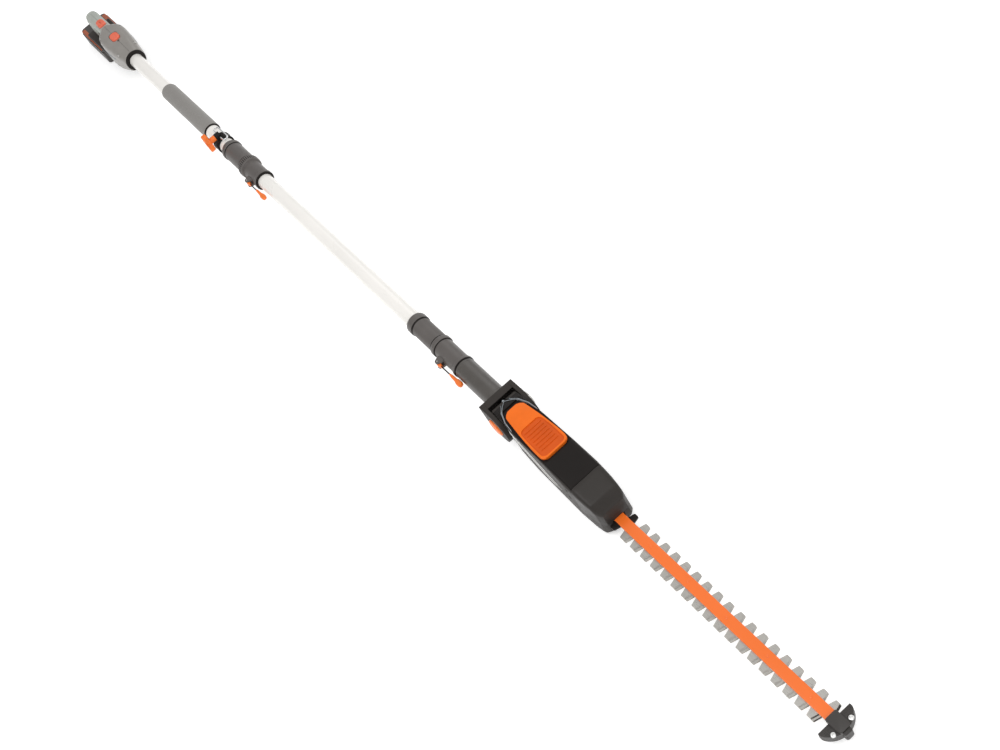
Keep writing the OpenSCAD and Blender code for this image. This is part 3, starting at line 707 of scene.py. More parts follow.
PIVOT = sum(stations("pivot_bolt")) / 2
PIVOT_LEVEL = ((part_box("pivot_bolt")[0].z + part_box("pivot_bolt")[1].z) / 2 - AXIS_Z) / MM
FOAM = stations("foam_grip")
CLAMP = sum(stations("harness_clamp")) / 2
REAR_SLEEVE = stations("rear_coupling")
FRONT_SLEEVE = stations("front_coupling")
YOKE_BACK = stations("yoke")[1]
YOKE_FRONT = PIVOT + 25.5
YOKE_HALF = (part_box("yoke")[1].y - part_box("yoke")[0].y) / 2 / MM
CHEEK_IN = YOKE_HALF - 7.7
HOOD_R = 34.6
HEAD_HALF = (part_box("head_shell_left")[1].y) / MM
NOSE = stations("nose_cover")
COLLAR = stations("handle_front_collar")
GRIP_BACK = stations("grip_cover")[1] - 1
GRIP_FRONT = GRIP_BACK - 115
BATTERY = stations("battery_case")
DOCK = stations("battery_dock")
TUBE_R = (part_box("mid_tube")[1].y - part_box("mid_tube")[0].y) / 2 / MM
LEVER_Y = -26.2
REAR_LEVER = sum(stations("rear_lever_pin")) / 2
FRONT_LEVER = sum(stations("front_lever_pin")) / 2


def level_of(node, top=True):
    return (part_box(node)[1 if top else 0].z - AXIS_Z) / MM


# ---- pole ----------------------------------------------------------------------------------


def build_tubes(sizes):
    """Both enamelled pole tubes, 2 mm in the wall."""
    for node, body in (("rear_tube", "handle"), ("mid_tube", "mid_pole")):
        front, back = stations(node)
        tube = lathe(node.replace("_", "-"), sleeve(front, back, TUBE_R, TUBE_R - 2, 0.5), loop=True)
        finish_piece(tube, body, "tube_enamel", [node])


def build_foam(sizes):
    """Foam sleeve: soft domed ends, and a skin that wanders a few tenths of a millimetre."""
    front, back = FOAM
    outer = (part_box("foam_grip")[1].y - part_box("foam_grip")[0].y) / 2 / MM - 0.25
    inner = TUBE_R + 0.02
    profile = [(front, inner), (front, outer - 3)] + rounded(front, outer, 3, 1)[1:]
    count = 90
    profile += [(front + 3 + (back - front - 9) * i / count, outer) for i in range(1, count)]
    profile += rounded(back, outer - 0.1, 3.2, -1, 8) + [(back, inner)]
    foam = lathe("foam-sleeve", profile, segments=128, loop=True, smooth_angle=60)
    for vert in foam.data.vertices:
        radial = Vector((0, vert.co.y, vert.co.z - AXIS_Z))
        if radial.length > (inner + 1) * MM:
            wander = noise.noise(vert.co * 28) * 0.16 + noise.noise(vert.co * 160) * 0.05
            vert.co += radial.normalized() * wander * MM
    finish_piece(foam, "handle", "foam", ["foam_grip"])
    # The front end face is black: painted shade at the mouth of the sleeve, not a black part.
    second_finish(foam, "black_nylon", lambda p: p.x > at(front + 2.2).x)


def build_clamp(sizes):
    """Harness clamp: grooved band with a lug on top, a long bent-wire ring and a two-lobed knob."""
    front, back = stations("harness_clamp")
    outer = 20
    screw_level, ring_level = level_of("harness_clamp") - 5, level_of("harness_clamp") - 6
    profile = [(front, TUBE_R + 0.05), (front, outer - 1.2)] + rounded(front, outer, 1.2, 1)[1:]
    groove = 7
    profile += [(CLAMP - groove - 0.4, outer), (CLAMP - groove, outer - 0.7)]
    profile += [(CLAMP + groove, outer - 0.7), (CLAMP + groove + 0.4, outer)]
    profile += rounded(back, outer, 1.2, -1)[:-1] + [(back, outer - 1.2), (back, TUBE_R + 0.05)]
    band = lathe("clamp-band", profile, loop=True)
    lug_outline = round_corners([(CLAMP - 7, 14), (CLAMP + 7, 14), (CLAMP + 7, screw_level + 4.8),
                                 (CLAMP - 7, screw_level + 4.8)], 3)
    lug = prism("clamp-lug", lug_outline, -9, 3, "XZ", 0.9)
    ring_bore = lathe("clamp-bore", [(CLAMP - 12, 2.6), (CLAMP + 12, 2.6)], (-1, ring_level), 32)
    stud_bore = lathe("clamp-stud-bore", [(-12, 3.1), (-5, 3.1)], (CLAMP, screw_level), 32, "Y")
    tube_bore = lathe("clamp-tube-bore", [(b, TUBE_R + 0.05) for b in (CLAMP - 20, CLAMP + 20)], segments=96)
    cut(band, lug, operation="UNION")
    cut(band, ring_bore, stud_bore, tube_bore)
    shade(band.data, 35)
    finish_piece(band, "handle", "black_nylon", ["harness_clamp"])

    centre, reach, bend, wire_r = Vector((CLAMP, 5)), 19, 6, 1.75
    path = []
    for turn in range(0, 360, 10):
        t = math.radians(turn)
        side = 1 if math.cos(t) > 0 else -1
        straight = side * reach if abs(math.cos(t)) > 0.01 else 0
        path.append((centre.x + straight + bend * math.cos(t), centre.y + bend * math.sin(t)))
    rings = []
    for i, (b, y) in enumerate(path):
        point = at(b, y, ring_level)
        before, after = at(*path[i - 1], ring_level), at(*path[(i + 1) % len(path)], ring_level)
        along = (after - before).normalized()
        side = along.cross(Vector((0, 0, 1)))
        up = Vector((0, 0, 1))
        turns = [2 * math.pi * k / 16 for k in range(16)]
        rings.append([point + (side * math.cos(t) + up * math.sin(t)) * wire_r * MM for t in turns])
    bm = bmesh.new()
    skin_rings(bm, rings, loop=True)
    ring = new_object("strap-ring", bm, 60)
    finish_piece(ring, "strap_ring", "chrome_wire", ["strap_ring"])

    lobe_r, lobe_at, waist = 8, 15, 5.6
    lobe_gap = math.degrees(math.asin(waist / lobe_r))
    lobes = arc(CLAMP, screw_level + lobe_at, lobe_r, lobe_gap - 90, 270 - lobe_gap, 16)
    lobes += arc(CLAMP, screw_level - lobe_at, lobe_r, 90 + lobe_gap, 450 - lobe_gap, 16)
    wing = prism("clamp-knob", lobes, -33, -22.1, "XZ", 2.2, 4)
    stem = lathe("knob-stem", [(-30, 6.2), (-20, 6.4), (-12, 6.4), (-10, 6.2), (-9.4, 5.6)],
                 (CLAMP, screw_level), 48, "Y")
    stud = lathe("knob-stud", [(-24, 3), (-5.4, 3)], (CLAMP, screw_level), 32, "Y")
    dish = lathe("knob-dish", [(-34, 4.6), (-32.2, 4.2), (-32.2, 0.1)], (CLAMP, screw_level), 32, "Y")
    cut(wing, stem, stud, operation="UNION")
    cut(wing, dish)
    shade(wing.data, 35)
    finish_piece(wing, "clamp_knob", "orange_plastic", ["clamp_knob"])


def lever_ears(pin, sleeve_r):
    """Two rounded ears that carry a flip lever."""
    ears = []
    for low, high in ((5, 9), (-9, -5)):
        outline = arc(pin, LEVER_Y, 4.4, 200, 340, 10)
        outline += [(pin + 7, -sleeve_r - 3), (pin + 8, -sleeve_r + 5), (pin - 8, -sleeve_r + 5),
                    (pin - 7, -sleeve_r - 3)]
        ears.append(prism(f"ear{len(ears)}", outline, low, high, "XY", 0.6))
    return ears


def build_lever(name, body, pin, node, pin_node, pin_body):
    """Flip lever: orange barrel, two thin dark wires and a rounded orange thumb end."""
    end = stations(node)[0]
    rows = [
        (end + 0.1, 2.0, 2.0, -2.0, 1.9, 1.9), (end + 1.6, 4.4, 4.4, -4.4, 4.2, 4.2),
        (end + 5, 5.3, 5.3, -5.3, 5, 5), (end + 12, 5.2, 5.2, -5.2, 4.8, 4.8),
        (end + 18, 3.2, 4.4, -4.4, 3, 3), (end + 30, 2.6, 4.2, -4.2, 2.2, 2.2),
        (end + 35, 1.8, 3.8, -3.8, 1.6, 1.6), (end + 36.5, 1.0, 3.0, -3.0, 0.9, 0.9),
    ]
    thumb = moulding(name + "-thumb", rows, y=LEVER_Y, step=1.5, smooth_angle=50)
    wire_r, apart = 0.9, 2.6
    arms = []
    for s in (-1, 1):
        ends = [(b, wire_r, s * apart + wire_r, s * apart - wire_r, 0.8, 0.8) for b in (end + 33, pin - 6)]
        arms.append(moulding(f"{name}-wire{s}", ends, y=LEVER_Y, step=4, smooth_angle=60))
    barrel = moulding(name + "-barrel", [
        (pin - 10, 1.2, 4.0, -4.0, 1, 1), (pin - 8, 2.2, 4.5, -4.5, 1.4, 1.4),
        (pin - 4, 3.4, 4.7, -4.7, 1.2, 1.2), (pin, 3.8, 4.7, -4.7, 1.2, 1.2),
        (pin + 2.4, 3.0, 4.6, -4.6, 2, 2), (pin + 3.6, 1.2, 3.9, -3.9, 1, 1),
    ], y=LEVER_Y, step=1.5, smooth_angle=50)
    lever = join(name, [thumb, barrel])
    shade(lever.data, 50)
    finish_piece(lever, body, "orange_plastic", [node])
    wires = join(name + "-wires", arms)
    shade(wires.data, 60)
    finish_piece(wires, body, "orange_plastic", finish="black_nylon")
    pin_piece = lathe(name + "-pin", [(-9.4, 1.1), (-9, 1.5), (9, 1.5), (9.4, 1.1)], (pin, LEVER_Y), 24, "Z")
    finish_piece(pin_piece, pin_body, "steel_fastener", [pin_node])


def build_levers(sizes):
    build_lever("rear-lever", "rear_lever", REAR_LEVER, "rear_lever", "rear_lever_pin", "handle")
    build_lever("front-lever", "front_lever", FRONT_LEVER, "front_lever", "front_lever_pin", "mid_pole")


def in_bands(bands):
    """A test for the points that lie in bands of (front, back) stations."""
    return lambda point: any(at(back).x < point.x < at(front).x for front, back in bands)


def build_rear_coupling(sizes):
    """Rear coupling: stepped sleeve with a flanged back, black bands of painted shade at its grooves and
    steps, and a ribbed collar.
    """
    front, back = REAR_SLEEVE
    bore = TUBE_R + 0.06
    profile = [
        (front, bore), (front, 20.0), (front + 0.8, 20.8), (front + 2, 21), (front + 9, 21),
        (front + 10, 20.6), (front + 10.6, 19.4), (front + 56, 19.4), (front + 57, 20.2),
        (front + 57.6, 22.4), (front + 59, 23.5), (front + 61, 23.7), (front + 72, 23.7),
        (front + 74, 23.2), (front + 75.4, 21.6), (front + 76, 19.6), (front + 78, 19.6),
        (front + 78.6, 20.7), (back - 17, 20.8), (back - 15, 20.4), (back - 14.4, 21.4),
        (back - 13, 22.2), (back - 12, 22.4), (back - 6, 22.4), (back - 4.4, 22.0), (back - 3.6, 20.8),
        (back - 2, 20.6), (back - 0.6, 19.8), (back, 18.8), (back, bore),
    ]
    body = lathe("rear-coupling", profile, segments=128, loop=True, smooth_angle=30)
    cut(body, *lever_ears(REAR_LEVER, 19.4), operation="UNION")
    shade(body.data, 30)
    finish_piece(body, "handle", "dark_nylon", ["rear_coupling"])
    # The steps and grooves get black bands: painted shade where the collars shadow the sleeve.
    painted_shade_bands = ((front - 1, front + 3.4), (front + 73.6, front + 78.4), (front + 10.2, front + 12),
                  (back - 17, back - 14.2))
    second_finish(body, "black_nylon", in_bands(painted_shade_bands))
    unit = upright_box("rib", front + 61.5, front + 71.5, -0.7, 0.7, 23.1, 23.9, 0.6, 0.25)
    unit.data.transform(Matrix.Translation(-at(0, 0, 0)))
    ribs = repeat(unit, sizes.collar_ribs, at(0, 0, 0), turn_step=(360 / sizes.collar_ribs, 0, 0))
    shade(ribs.data, 35)
    ribs.name = "rear-collar-ribs"
    finish_piece(ribs, "handle", "dark_nylon", finish="black_nylon")


def build_front_coupling(sizes):
    """Front coupling: flared cap at the back, two raised ridges and the lever's ears."""
    front, back = FRONT_SLEEVE
    bore = TUBE_R + 0.06
    profile = [
        (front, bore), (front, 20.2), (front + 0.8, 21.0), (front + 2, 21.2), (front + 6.5, 21.2),
        (front + 8, 20.6), (front + 8.8, 19.0), (front + 65.5, 19.0), (front + 67, 20.8),
        (front + 68, 21.2), (front + 75.5, 21.2), (front + 77, 20.7), (front + 77.8, 19.2),
        (front + 79, 18.6), (front + 80.4, 19.0), (back - 20, 19.0), (back - 17, 20.6),
        (back - 15.6, 20.8), (back - 4.5, 20.8), (back - 2, 20.2), (back - 0.5, 18.8), (back, 17.6),
        (back, bore),
    ]
    body = lathe("front-coupling", profile, segments=128, loop=True, smooth_angle=30)
    cut(body, *lever_ears(FRONT_LEVER, 19.0), operation="UNION")
    shade(body.data, 30)
    finish_piece(body, "mid_pole", "dark_nylon", ["front_coupling"])
    # The steps, ridges and groove get black bands: painted shade where the ridges shadow the sleeve.
    painted_shade_bands = ((front - 1, front + 2.4), (front + 8, front + 10), (front + 63.6, front + 67),
                  (front + 77.2, front + 80), (back - 18.6, back - 16.8))
    second_finish(body, "black_nylon", in_bands(painted_shade_bands))


def build_neck(sizes):
    """Neck tube with its plug: a collar line at each end and a shallow parting groove."""
    front = YOKE_BACK
    back = FRONT_SLEEVE[0] - 0.3
    plug_end = stations("neck")[1]
    profile = [
        (front, 13), (front, 19.2), (front + 0.8, 20), (front + 5, 20), (front + 5.5, 19.7),
        (front + 6.5, 19.7), (front + 7, 20), (back - 7, 20), (back - 6.5, 19.6), (back - 5.5, 19.6),
        (back - 5, 20), (back - 1, 20), (back, 19.2), (back, TUBE_R), (plug_end - 1.5, TUBE_R),
        (plug_end, TUBE_R - 1), (plug_end, 13),
    ]
    neck = lathe("neck-tube", profile, segments=128, loop=True, smooth_angle=30)
    finish_piece(neck, "neck", "dark_nylon", ["neck"], "neck_grey")


# ---- yoke and tilt -------------------------------------------------------------------------


def build_yoke(sizes):
    """Yoke: hooded cross block and two round cheeks with eased edges, pivot bolt and side button."""
    half, inner = YOKE_HALF, CHEEK_IN
    low, top = -32, 22
    r = PIVOT - stations("yoke")[0]
    parts = []
    for side in (1, -1):
        outline = arc(PIVOT, PIVOT_LEVEL, r, 80, 280, 40)
        outline += [(YOKE_BACK, low), (YOKE_BACK, top)]
        y0, y1 = (inner, half) if side > 0 else (-half, -inner)
        parts.append(prism(f"cheek{side}", outline, y0, y1, "XZ", 0))
    hood_start = math.degrees(math.asin((top - PIVOT_LEVEL) / HOOD_R))
    hood_end = math.degrees(math.acos((YOKE_FRONT - PIVOT) / HOOD_R))
    web = arc(PIVOT, PIVOT_LEVEL, HOOD_R, hood_start, hood_end, 10)
    web += [(YOKE_FRONT, low), (YOKE_BACK, low), (YOKE_BACK, top)]
    block = prism("yoke-frame", web, -half, half, "XZ", 0)
    cut(block, *parts, operation="UNION")
    modify(block, "BEVEL", width=sizes.yoke_edge, segments=4, limit_method="ANGLE",
           angle_limit=math.radians(38), miter_outer="MITER_ARC")
    apply_all(block)
    pocket = lathe("button-pocket", [(-half - 5, 17.6), (-inner - 1.4, 17.6), (-inner - 1.4, 6),
                                     (-inner + 2, 6)], (PIVOT, PIVOT_LEVEL), 64, "Y")
    bolt = lathe("bolt-hole", [(inner - 2, 6.02), (half + 6, 6.02)], (PIVOT, PIVOT_LEVEL), 48, "Y")
    lead = lathe("lead-hole", [(YOKE_FRONT - 3, 8), (YOKE_BACK + 3, 8)], segments=48)
    cut(block, pocket, bolt, lead)
    shade(block.data, 32)
    finish_piece(block, "neck", "charcoal_nylon", ["yoke"])

    bolt_profile = [(-inner + 1, 5.4), (-inner + 1.6, 6), (half, 6), (half, 13), (half + 0.8, 14),
                    (half + 3.8, 14), (half + 4.7, 13.2), (half + 5, 12)]
    bolt_head = lathe("pivot-bolt-head", bolt_profile, (PIVOT, PIVOT_LEVEL), 64, "Y", smooth_angle=25)
    socket = prism("bolt-socket", arc(PIVOT, PIVOT_LEVEL, 6.2, 0, 300, 5), half + 2.2, half + 8, "XZ", 0)
    cut(bolt_head, socket)
    shade(bolt_head.data, 25)
    finish_piece(bolt_head, "neck", "steel_fastener", ["pivot_bolt"])

    button_profile = [(-half + 2.5, 14), (-half + 2, 15), (-half + 1.6, 15), (-half + 1.4, 17),
                      (-half - 1.0, 17), (-half - 2.2, 16.4), (-half - 3.0, 15), (-half - 3.6, 12.5),
                      (-half - 3.9, 9.0), (-half - 4, 6), (-half - 3.7, 5.2), (-half - 3.5, 2.5),
                      (-half - 3.4, 0.2)]
    button = lathe("tilt-button", button_profile, (PIVOT, PIVOT_LEVEL), 72, "Y", smooth_angle=28)
    finish_piece(button, "tilt_button", "orange_plastic", ["tilt_button"])


# ---- head ----------------------------------------------------------------------------------


def head_rows():
    """Sections of the head from the nose back to the round barrel between the cheeks."""
    inner = CHEEK_IN - 0.4
    full = HEAD_HALF - 0.1
    rows = [
        (28, 21.6, -6, -58, 3, 5), (29, 22.6, -4.5, -60, 4, 6), (31, 24.6, -3.2, -62.5, 5, 8),
        (37, 28.7, 3.5, -68, 6, 9), (42, 29.4, 8.8, -71, 7, 10), (46, 29.9, 12.4, -72, 7, 10),
        (60, full - 1.4, 16.6, -72, 8, 10), (80, full - 0.5, 22, -72, 8, 10),
        (85, full - 0.4, 22.7, -72, 8, 10), (95, full, 23.9, -72, 8, 10),
        (120, full - 0.4, 27.0, -72, 8, 10), (150, full - 1.1, 29.9, -72, 7, 10),
        (215, full - 2.5, 30, -72, 6, 9), (238, full - 3.1, 30, -59, 6, 9),
        (250, full - 3.5, 30, -51.6, 6, 9),
        (258, inner, 30, -46.8, 5.5, 9), (266, inner, 30, -40.2, 5, 8), (276, inner, 30, -33, 5, 6),
        (285, inner, 29.8, -32.2, 4.5, 5), (293, inner, 26.7, -32, 4, 4), (300, inner, 24.1, -31.8, 4, 4),
        (305.6, inner - 0.6, 21.6, -30.4, 4, 4), (307.2, inner - 0.6, 13.6, -29.8, 3, 3),
    ]
    barrel_r = 24
    for turn in range(22, 88, 6):
        b = PIVOT + barrel_r * math.sin(math.radians(turn))
        h = barrel_r * math.cos(math.radians(turn))
        if b > 308:
            rows.append((b, inner, PIVOT_LEVEL + h, PIVOT_LEVEL - h, 2, 2))
    return rows


def head_width(station):
    return ease(head_rows(), station)[0]


def head_top(station):
    return ease(head_rows(), station)[1]


SCREWS_ON_HEAD = [(232, -30), (108, -25), (102, 4), (228, 14)]


def build_head(sizes):
    """Head: one lofted body, cut into two shells, a nose cover and a top cover, with its screws."""
    solid = moulding("head-solid", head_rows(), crown=0.0, step=4.0)
    # Recess for the latch tab, blade slot, and the pockets of the screws
    reach = HEAD_HALF - 4
    pocket_corners = [(149, -reach), (266, -reach), (283.5, -18), (283.5, 18), (266, reach), (149, reach)]
    pocket_outline = round_corners(pocket_corners, 7)
    pocket = prism("tab-pocket", pocket_outline, 27, 50, "XY", 0)
    slot = upright_box("blade-slot", 0, 90, -11.5, 11.5, -49.5, -36.1, 1, 0)
    cut(solid, pocket, slot)
    screw_holes = []
    for b, level in SCREWS_ON_HEAD:
        profile = [(-45, 4.2), (-head_width(b) + 3.4, 4.0)]
        screw_holes.append(lathe(f"screw-hole-{b}", profile, (b, level), 28, "Y"))
    cut(solid, *screw_holes)

    wall = sizes.shell_wall
    seam = sizes.seam_gap
    nose_back = NOSE[1]
    rail_top = level_of("blade_rail")
    x_nose = at(nose_back).x
    z_nose = at(0, 0, rail_top).z
    z_cover = at(0, 0, 20).z
    y_cover = (HEAD_HALF - 3.6) * MM
    x_cover = (at(nose_back + 0.9).x, at(299).x)

    def in_nose(p):
        return p.x > x_nose and p.z > z_nose

    def in_cover(p):
        return x_cover[1] < p.x < x_cover[0] and abs(p.y) < y_cover and p.z > z_cover

    def is_slot_end(p):
        gap = p - at(90, 0, -43)
        return abs(gap.x) < 0.4 * MM and abs(gap.y) < 11.4 * MM and abs(gap.z) < 6.6 * MM

    edges = [((x_nose, 0, 0), (1, 0, 0)), ((0, 0, z_nose), (0, 0, 1)), ((x_cover[0], 0, 0), (1, 0, 0)),
             ((x_cover[1], 0, 0), (1, 0, 0)), ((0, y_cover, 0), (0, 1, 0)), ((0, -y_cover, 0), (0, 1, 0)),
             ((x_nose - seam * MM, 0, 0), (1, 0, 0)), ((0, 0, z_nose - seam * MM), (0, 0, 1)),
             ((0, y_cover + seam * MM, 0), (0, 1, 0)), ((0, -y_cover - seam * MM, 0), (0, 1, 0))]
    for side, node in ((1, "head_shell_left"), (-1, "head_shell_right")):
        cut_y = side * seam / 2 * MM

        def keep(p):
            if p.y * side < seam / 2 * MM or is_slot_end(p):
                return False
            if p.x > x_nose - seam * MM and p.z > z_nose - seam * MM:
                return False
            along_cover = x_cover[1] - seam * MM < p.x < x_cover[0] + seam * MM
            return not (along_cover and abs(p.y) < y_cover + seam * MM and p.z > z_cover)

        shell = skin_part(solid, node.replace("_", "-"), keep, edges + [((0, cut_y, 0), (0, 1, 0))], wall)
        finish_piece(shell, "head", "charcoal_nylon", [node])
    nose = skin_part(solid, "nose-cover", lambda p: in_nose(p) and not is_slot_end(p), edges, wall)
    finish_piece(nose, "head", "dark_nylon", ["nose_cover"], "nose_grey")
    cover = skin_part(solid, "top-cover", in_cover, edges, wall)
    finish_piece(cover, "head", "black_nylon", ["top_cover"])
    remove(solid)

    screws = place_on_points("head-screw-heads", screw_unit("screw", 3.4, 1.4),
                             [at(b, -head_width(b) + 3.2, level) for b, level in SCREWS_ON_HEAD])
    finish_piece(screws, "head", "steel_fastener", ["head_screws"])
    build_head_trim(sizes)


def build_head_trim(sizes):
    """Silver-grey arch behind the latch tab, and two pale beads down each flank that are painted highlight
    for the light caught along the shell seams.
    """
    outer = [(240, 28.4), (262, 26.2), (282, 19.2), (297, 10.2), (308.5, 0.0)]
    inner = [(242, 27.2), (261, 24.8), (280, 17.6), (292.5, 8.6), (301, 0.0)]
    outline = outer + [(b, -y) for b, y in outer[-2::-1]]
    outline += [(b, -y) for b, y in inner[:-1]] + inner[::-1]
    arch = prism("latch-arch", outline, 22, 31.2, "XY", 0)
    for vert in arch.data.vertices:
        b = (TIP_X - vert.co.x) / MM - TIP_REACH
        if vert.co.z > at(0, 0, 30).z:
            inside_hood = math.sqrt((HOOD_R - 0.5) ** 2 - max(0.0, b - PIVOT) ** 2)
            vert.co.z = at(0, 0, min(head_top(b) + 1.5, inside_hood)).z
    modify(arch, "BEVEL", width=0.7 * MM, segments=3, limit_method="ANGLE", angle_limit=math.radians(40))
    apply_all(arch)
    shade(arch.data, 35)
    finish_piece(arch, "head", "charcoal_nylon", finish="silver_trim_and_painted_highlight")
    for side, label in ((-1, "right"), (1, "left")):
        beads = []
        for start, end, z_start, z_end in ((258, 132, 18, -30), (256, 150, 2, -44)):
            path, radii = [], []
            for i in range(41):
                t = i / 40
                b = start + (end - start) * t
                path.append(at(b, side * (head_width(b) - 0.1), z_start + (z_end - z_start) * t ** 1.15))
                taper = min(1.0, (1 - t) * 5 + 0.3, t * 12 + 0.4)
                radii.append(1.15 * taper)
            beads.append(bead("flank-bead", path, radii))
        both = join(f"flank-beads-{label}", beads)
        shade(both.data, 50)
        # The beads are pale as painted highlight along the seams, not as a trim colour.
        finish_piece(both, "head", "charcoal_nylon", finish="flank_painted_highlight")


def build_latch_tab(sizes):
    """Latch tab: wide at the front, with a finger hollow and its ribs."""
    low, high = level_of("latch_tab", False), level_of("latch_tab")
    base = high - 6.4
    right_edge = [(153.2, -27.4), (180, -27.8), (225, -24.4), (273.8, -18.5)]
    outline = round_corners(right_edge + [(b, -y) for b, y in right_edge[::-1]], 13, 9)
    tab = prism("latch-tab", outline, base, high - 0.2, "XY", 1.4, 4)
    hollow_edge = [(156.5, -24), (200, -23.6), (226, -21.4)]
    hollow_outline = round_corners(hollow_edge + [(b, -y) for b, y in hollow_edge[::-1]], 10, 8)
    hollow = prism("finger-hollow", hollow_outline, high - 2.1, high + 4, "XY", 0)
    foot = upright_box("latch-foot", 198, 210, -6, 6, low, base + 1, 1.5, 0)
    cut(tab, hollow)
    cut(tab, foot, operation="UNION")
    shade(tab.data, 35)
    finish_piece(tab, "latch_tab", "orange_plastic", ["latch_tab"], "latch_orange")
    # The hollow's floor is a darker orange than the tab: painted shade in the recess.
    floor_edge = [(157, -23.5), (200, -23.1), (225.6, -20.9)]
    floor_outline = round_corners(floor_edge + [(b, -y) for b, y in floor_edge[::-1]], 9.6, 8)
    floor = prism("hollow-floor", floor_outline, high - 2.6, high - 1.9, "XY", 0)
    finish_piece(floor, "latch_tab", "orange_plastic", finish="hollow_painted_shade_orange")
    rib_outline = round_corners([(-1.3, -17.5), (1.3, -17.5), (1.3, 17.5), (-1.3, 17.5)], 1.2, 3)
    rib = unit_block("latch-ribs", rib_outline, 1.7, 0.45, 0.35)
    ribs = repeat(rib, sizes.latch_ribs, at(217, 0, high - 2.4), (7.6 * MM, 0, 0))
    shade(ribs.data, 35)
    # The hollow's ribs share that darker orange: painted shade in the recess.
    finish_piece(ribs, "latch_tab", "orange_plastic", finish="hollow_painted_shade_orange")


# ---- cutter --------------------------------------------------------------------------------

TOOTH_PITCH = 24
TEETH = 18
UPPER_ROWS = (2, 16)
LOWER_ROWS = (6.5, 16.8)
BOLT_PITCH = 86
BOLT_SPOTS = [-50 - BOLT_PITCH * i for i in range(5)]


def blade(name, node, rows, bevel_up, sizes):
    """One reciprocating blade: a punched spine with its slots, and ground teeth either side."""
    low, high = level_of(node, False), level_of(node)
    front, back = stations(node)
    spine = prism(name, [(front, -9), (back, -9), (back, 9), (front, 9)], low, high, "XY", 0)
    ring_end = prism("drive-eye", round_box_outline(back - 45, back, -19, 19, 4), low, high, "XY", 0)
    cut(spine, ring_end, operation="UNION")
    window = round_box_outline(back - 41, back - 4, -15, 15, 1)
    holes = [prism("drive-window", window, low - 1, high + 1, "XY", 0)]
    for b in BOLT_SPOTS:
        slot = round_box_outline(b - 9.7, b + 9.7, -3.3, 3.3, 3.29)
        holes.append(prism(f"slot{b}", slot, low - 1, high + 1, "XY", 0))
    cut(spine, *holes)
    grind = sizes.tooth_grind
    thick = high - low
    teeth = []
    for side, first in ((-1, rows[0]), (1, rows[1])):
        bm = bmesh.new()
        root, tip, reach = 8.5, 5.0, 22.0
        full = [(-root, 8), (root, 8), (tip, reach - 0.8), (tip - 0.9, reach), (-tip + 0.9, reach),
                (-tip, reach - 0.8)]
        slim = [(-root + grind, 8), (root - grind, 8), (tip - grind, reach - 0.6),
                (tip - grind - 0.5, reach - 0.2), (-tip + grind + 0.5, reach - 0.2),
                (-tip + grind, reach - 0.6)]
        under, over = (full, slim) if bevel_up else (slim, full)
        rings = [[Vector((x, side * y, 0)) * MM for x, y in under],
                 [Vector((x, side * y, thick * (0.12 if bevel_up else 0.88))) * MM for x, y in full],
                 [Vector((x, side * y, thick)) * MM for x, y in over]]
        skin_rings(bm, rings)
        unit = new_object(f"{name}-teeth{side}", bm, 20)
        row = repeat(unit, TEETH, at(-first, 0, low), (TOOTH_PITCH * MM, 0, 0))
        shade(row.data, 20)
        teeth.append(row)
    whole = join(name, [spine] + teeth)
    shade(whole.data, 20)
    whole.name = name
    return whole


def build_cutter(sizes):
    """Both blades, the enamelled rail over them, its bolts with nuts, and the fixed root stops."""
    upper = blade("upper-blade", "upper_blade", UPPER_ROWS, True, sizes)
    finish_piece(upper, "upper_blade", "ground_steel", ["upper_blade"])
    lower = blade("lower-blade", "lower_blade", LOWER_ROWS, True, sizes)
    finish_piece(lower, "lower_blade", "ground_steel", ["lower_blade"])

    low, high = level_of("blade_rail", False), level_of("blade_rail")
    front, back = stations("blade_rail")
    half = 9.3
    section = round_corners([(-half, low), (half, low), (half, high), (-half, high)], 1.1, 4)
    bm = bmesh.new()
    skin_rings(bm, [[at(b, y, z) for y, z in section] for b in (front, front + 60, back - 60, back)])
    rail = new_object("blade-rail", bm)
    finish_piece(rail, "head", "rail_enamel", ["blade_rail"])

    bolt_low, bolt_high = level_of("blade_bolts", False), level_of("blade_bolts")
    stud_profile = [(bolt_low + 0.5, 2.4), (bolt_high - 0.5, 2.5), (bolt_high - 0.2, 2.1), (bolt_high, 1.2)]
    stud = lathe("stud", stud_profile, (0, 0), 24, "Z")
    nut = prism("nut", arc(0, 0, 6, 0, 300, 5), bolt_low, bolt_low + 3.2, "XY", 0.5)
    unit = join("bolt", [stud, nut])
    unit.data.transform(Matrix.Translation(-at(0, 0, 0)))
    bolts = repeat(unit, len(BOLT_SPOTS), at(BOLT_SPOTS[0], 0, 0), (BOLT_PITCH * MM, 0, 0))
    bolts.name = "blade-bolts"
    shade(bolts.data, 30)
    finish_piece(bolts, "head", "steel_fastener", ["blade_bolts"], "rail_enamel")

    stops = []
    low, high = level_of("root_stops", False), level_of("root_stops")
    for name, points in (("a", [(28, -8.4), (25.4, -21), (16, -21), (12.6, -8.4)]),
                         ("b", [(15.4, 8.4), (12.2, 21), (4, 21), (0.8, 8.4)])):
        stops.append(prism("stop" + name, round_corners(points, 1.6), low, high - 0.2, "XY", 0.7))
    both = join("root-stops", stops)
    shade(both.data, 35)
    finish_piece(both, "head", "black_nylon", ["root_stops"])


def guard_outline(back, half, centre, radius, inset=0.0):
    """Tip guard from above: a straight back edge, short sides and a round front."""
    half -= inset
    radius -= inset
    side_turn = math.degrees(math.asin(half / radius))
    points = arc(centre, 0, radius, 180 - side_turn, 180 + side_turn, 32)
    return [(back - inset, half)] + points + [(back - inset, -half)]


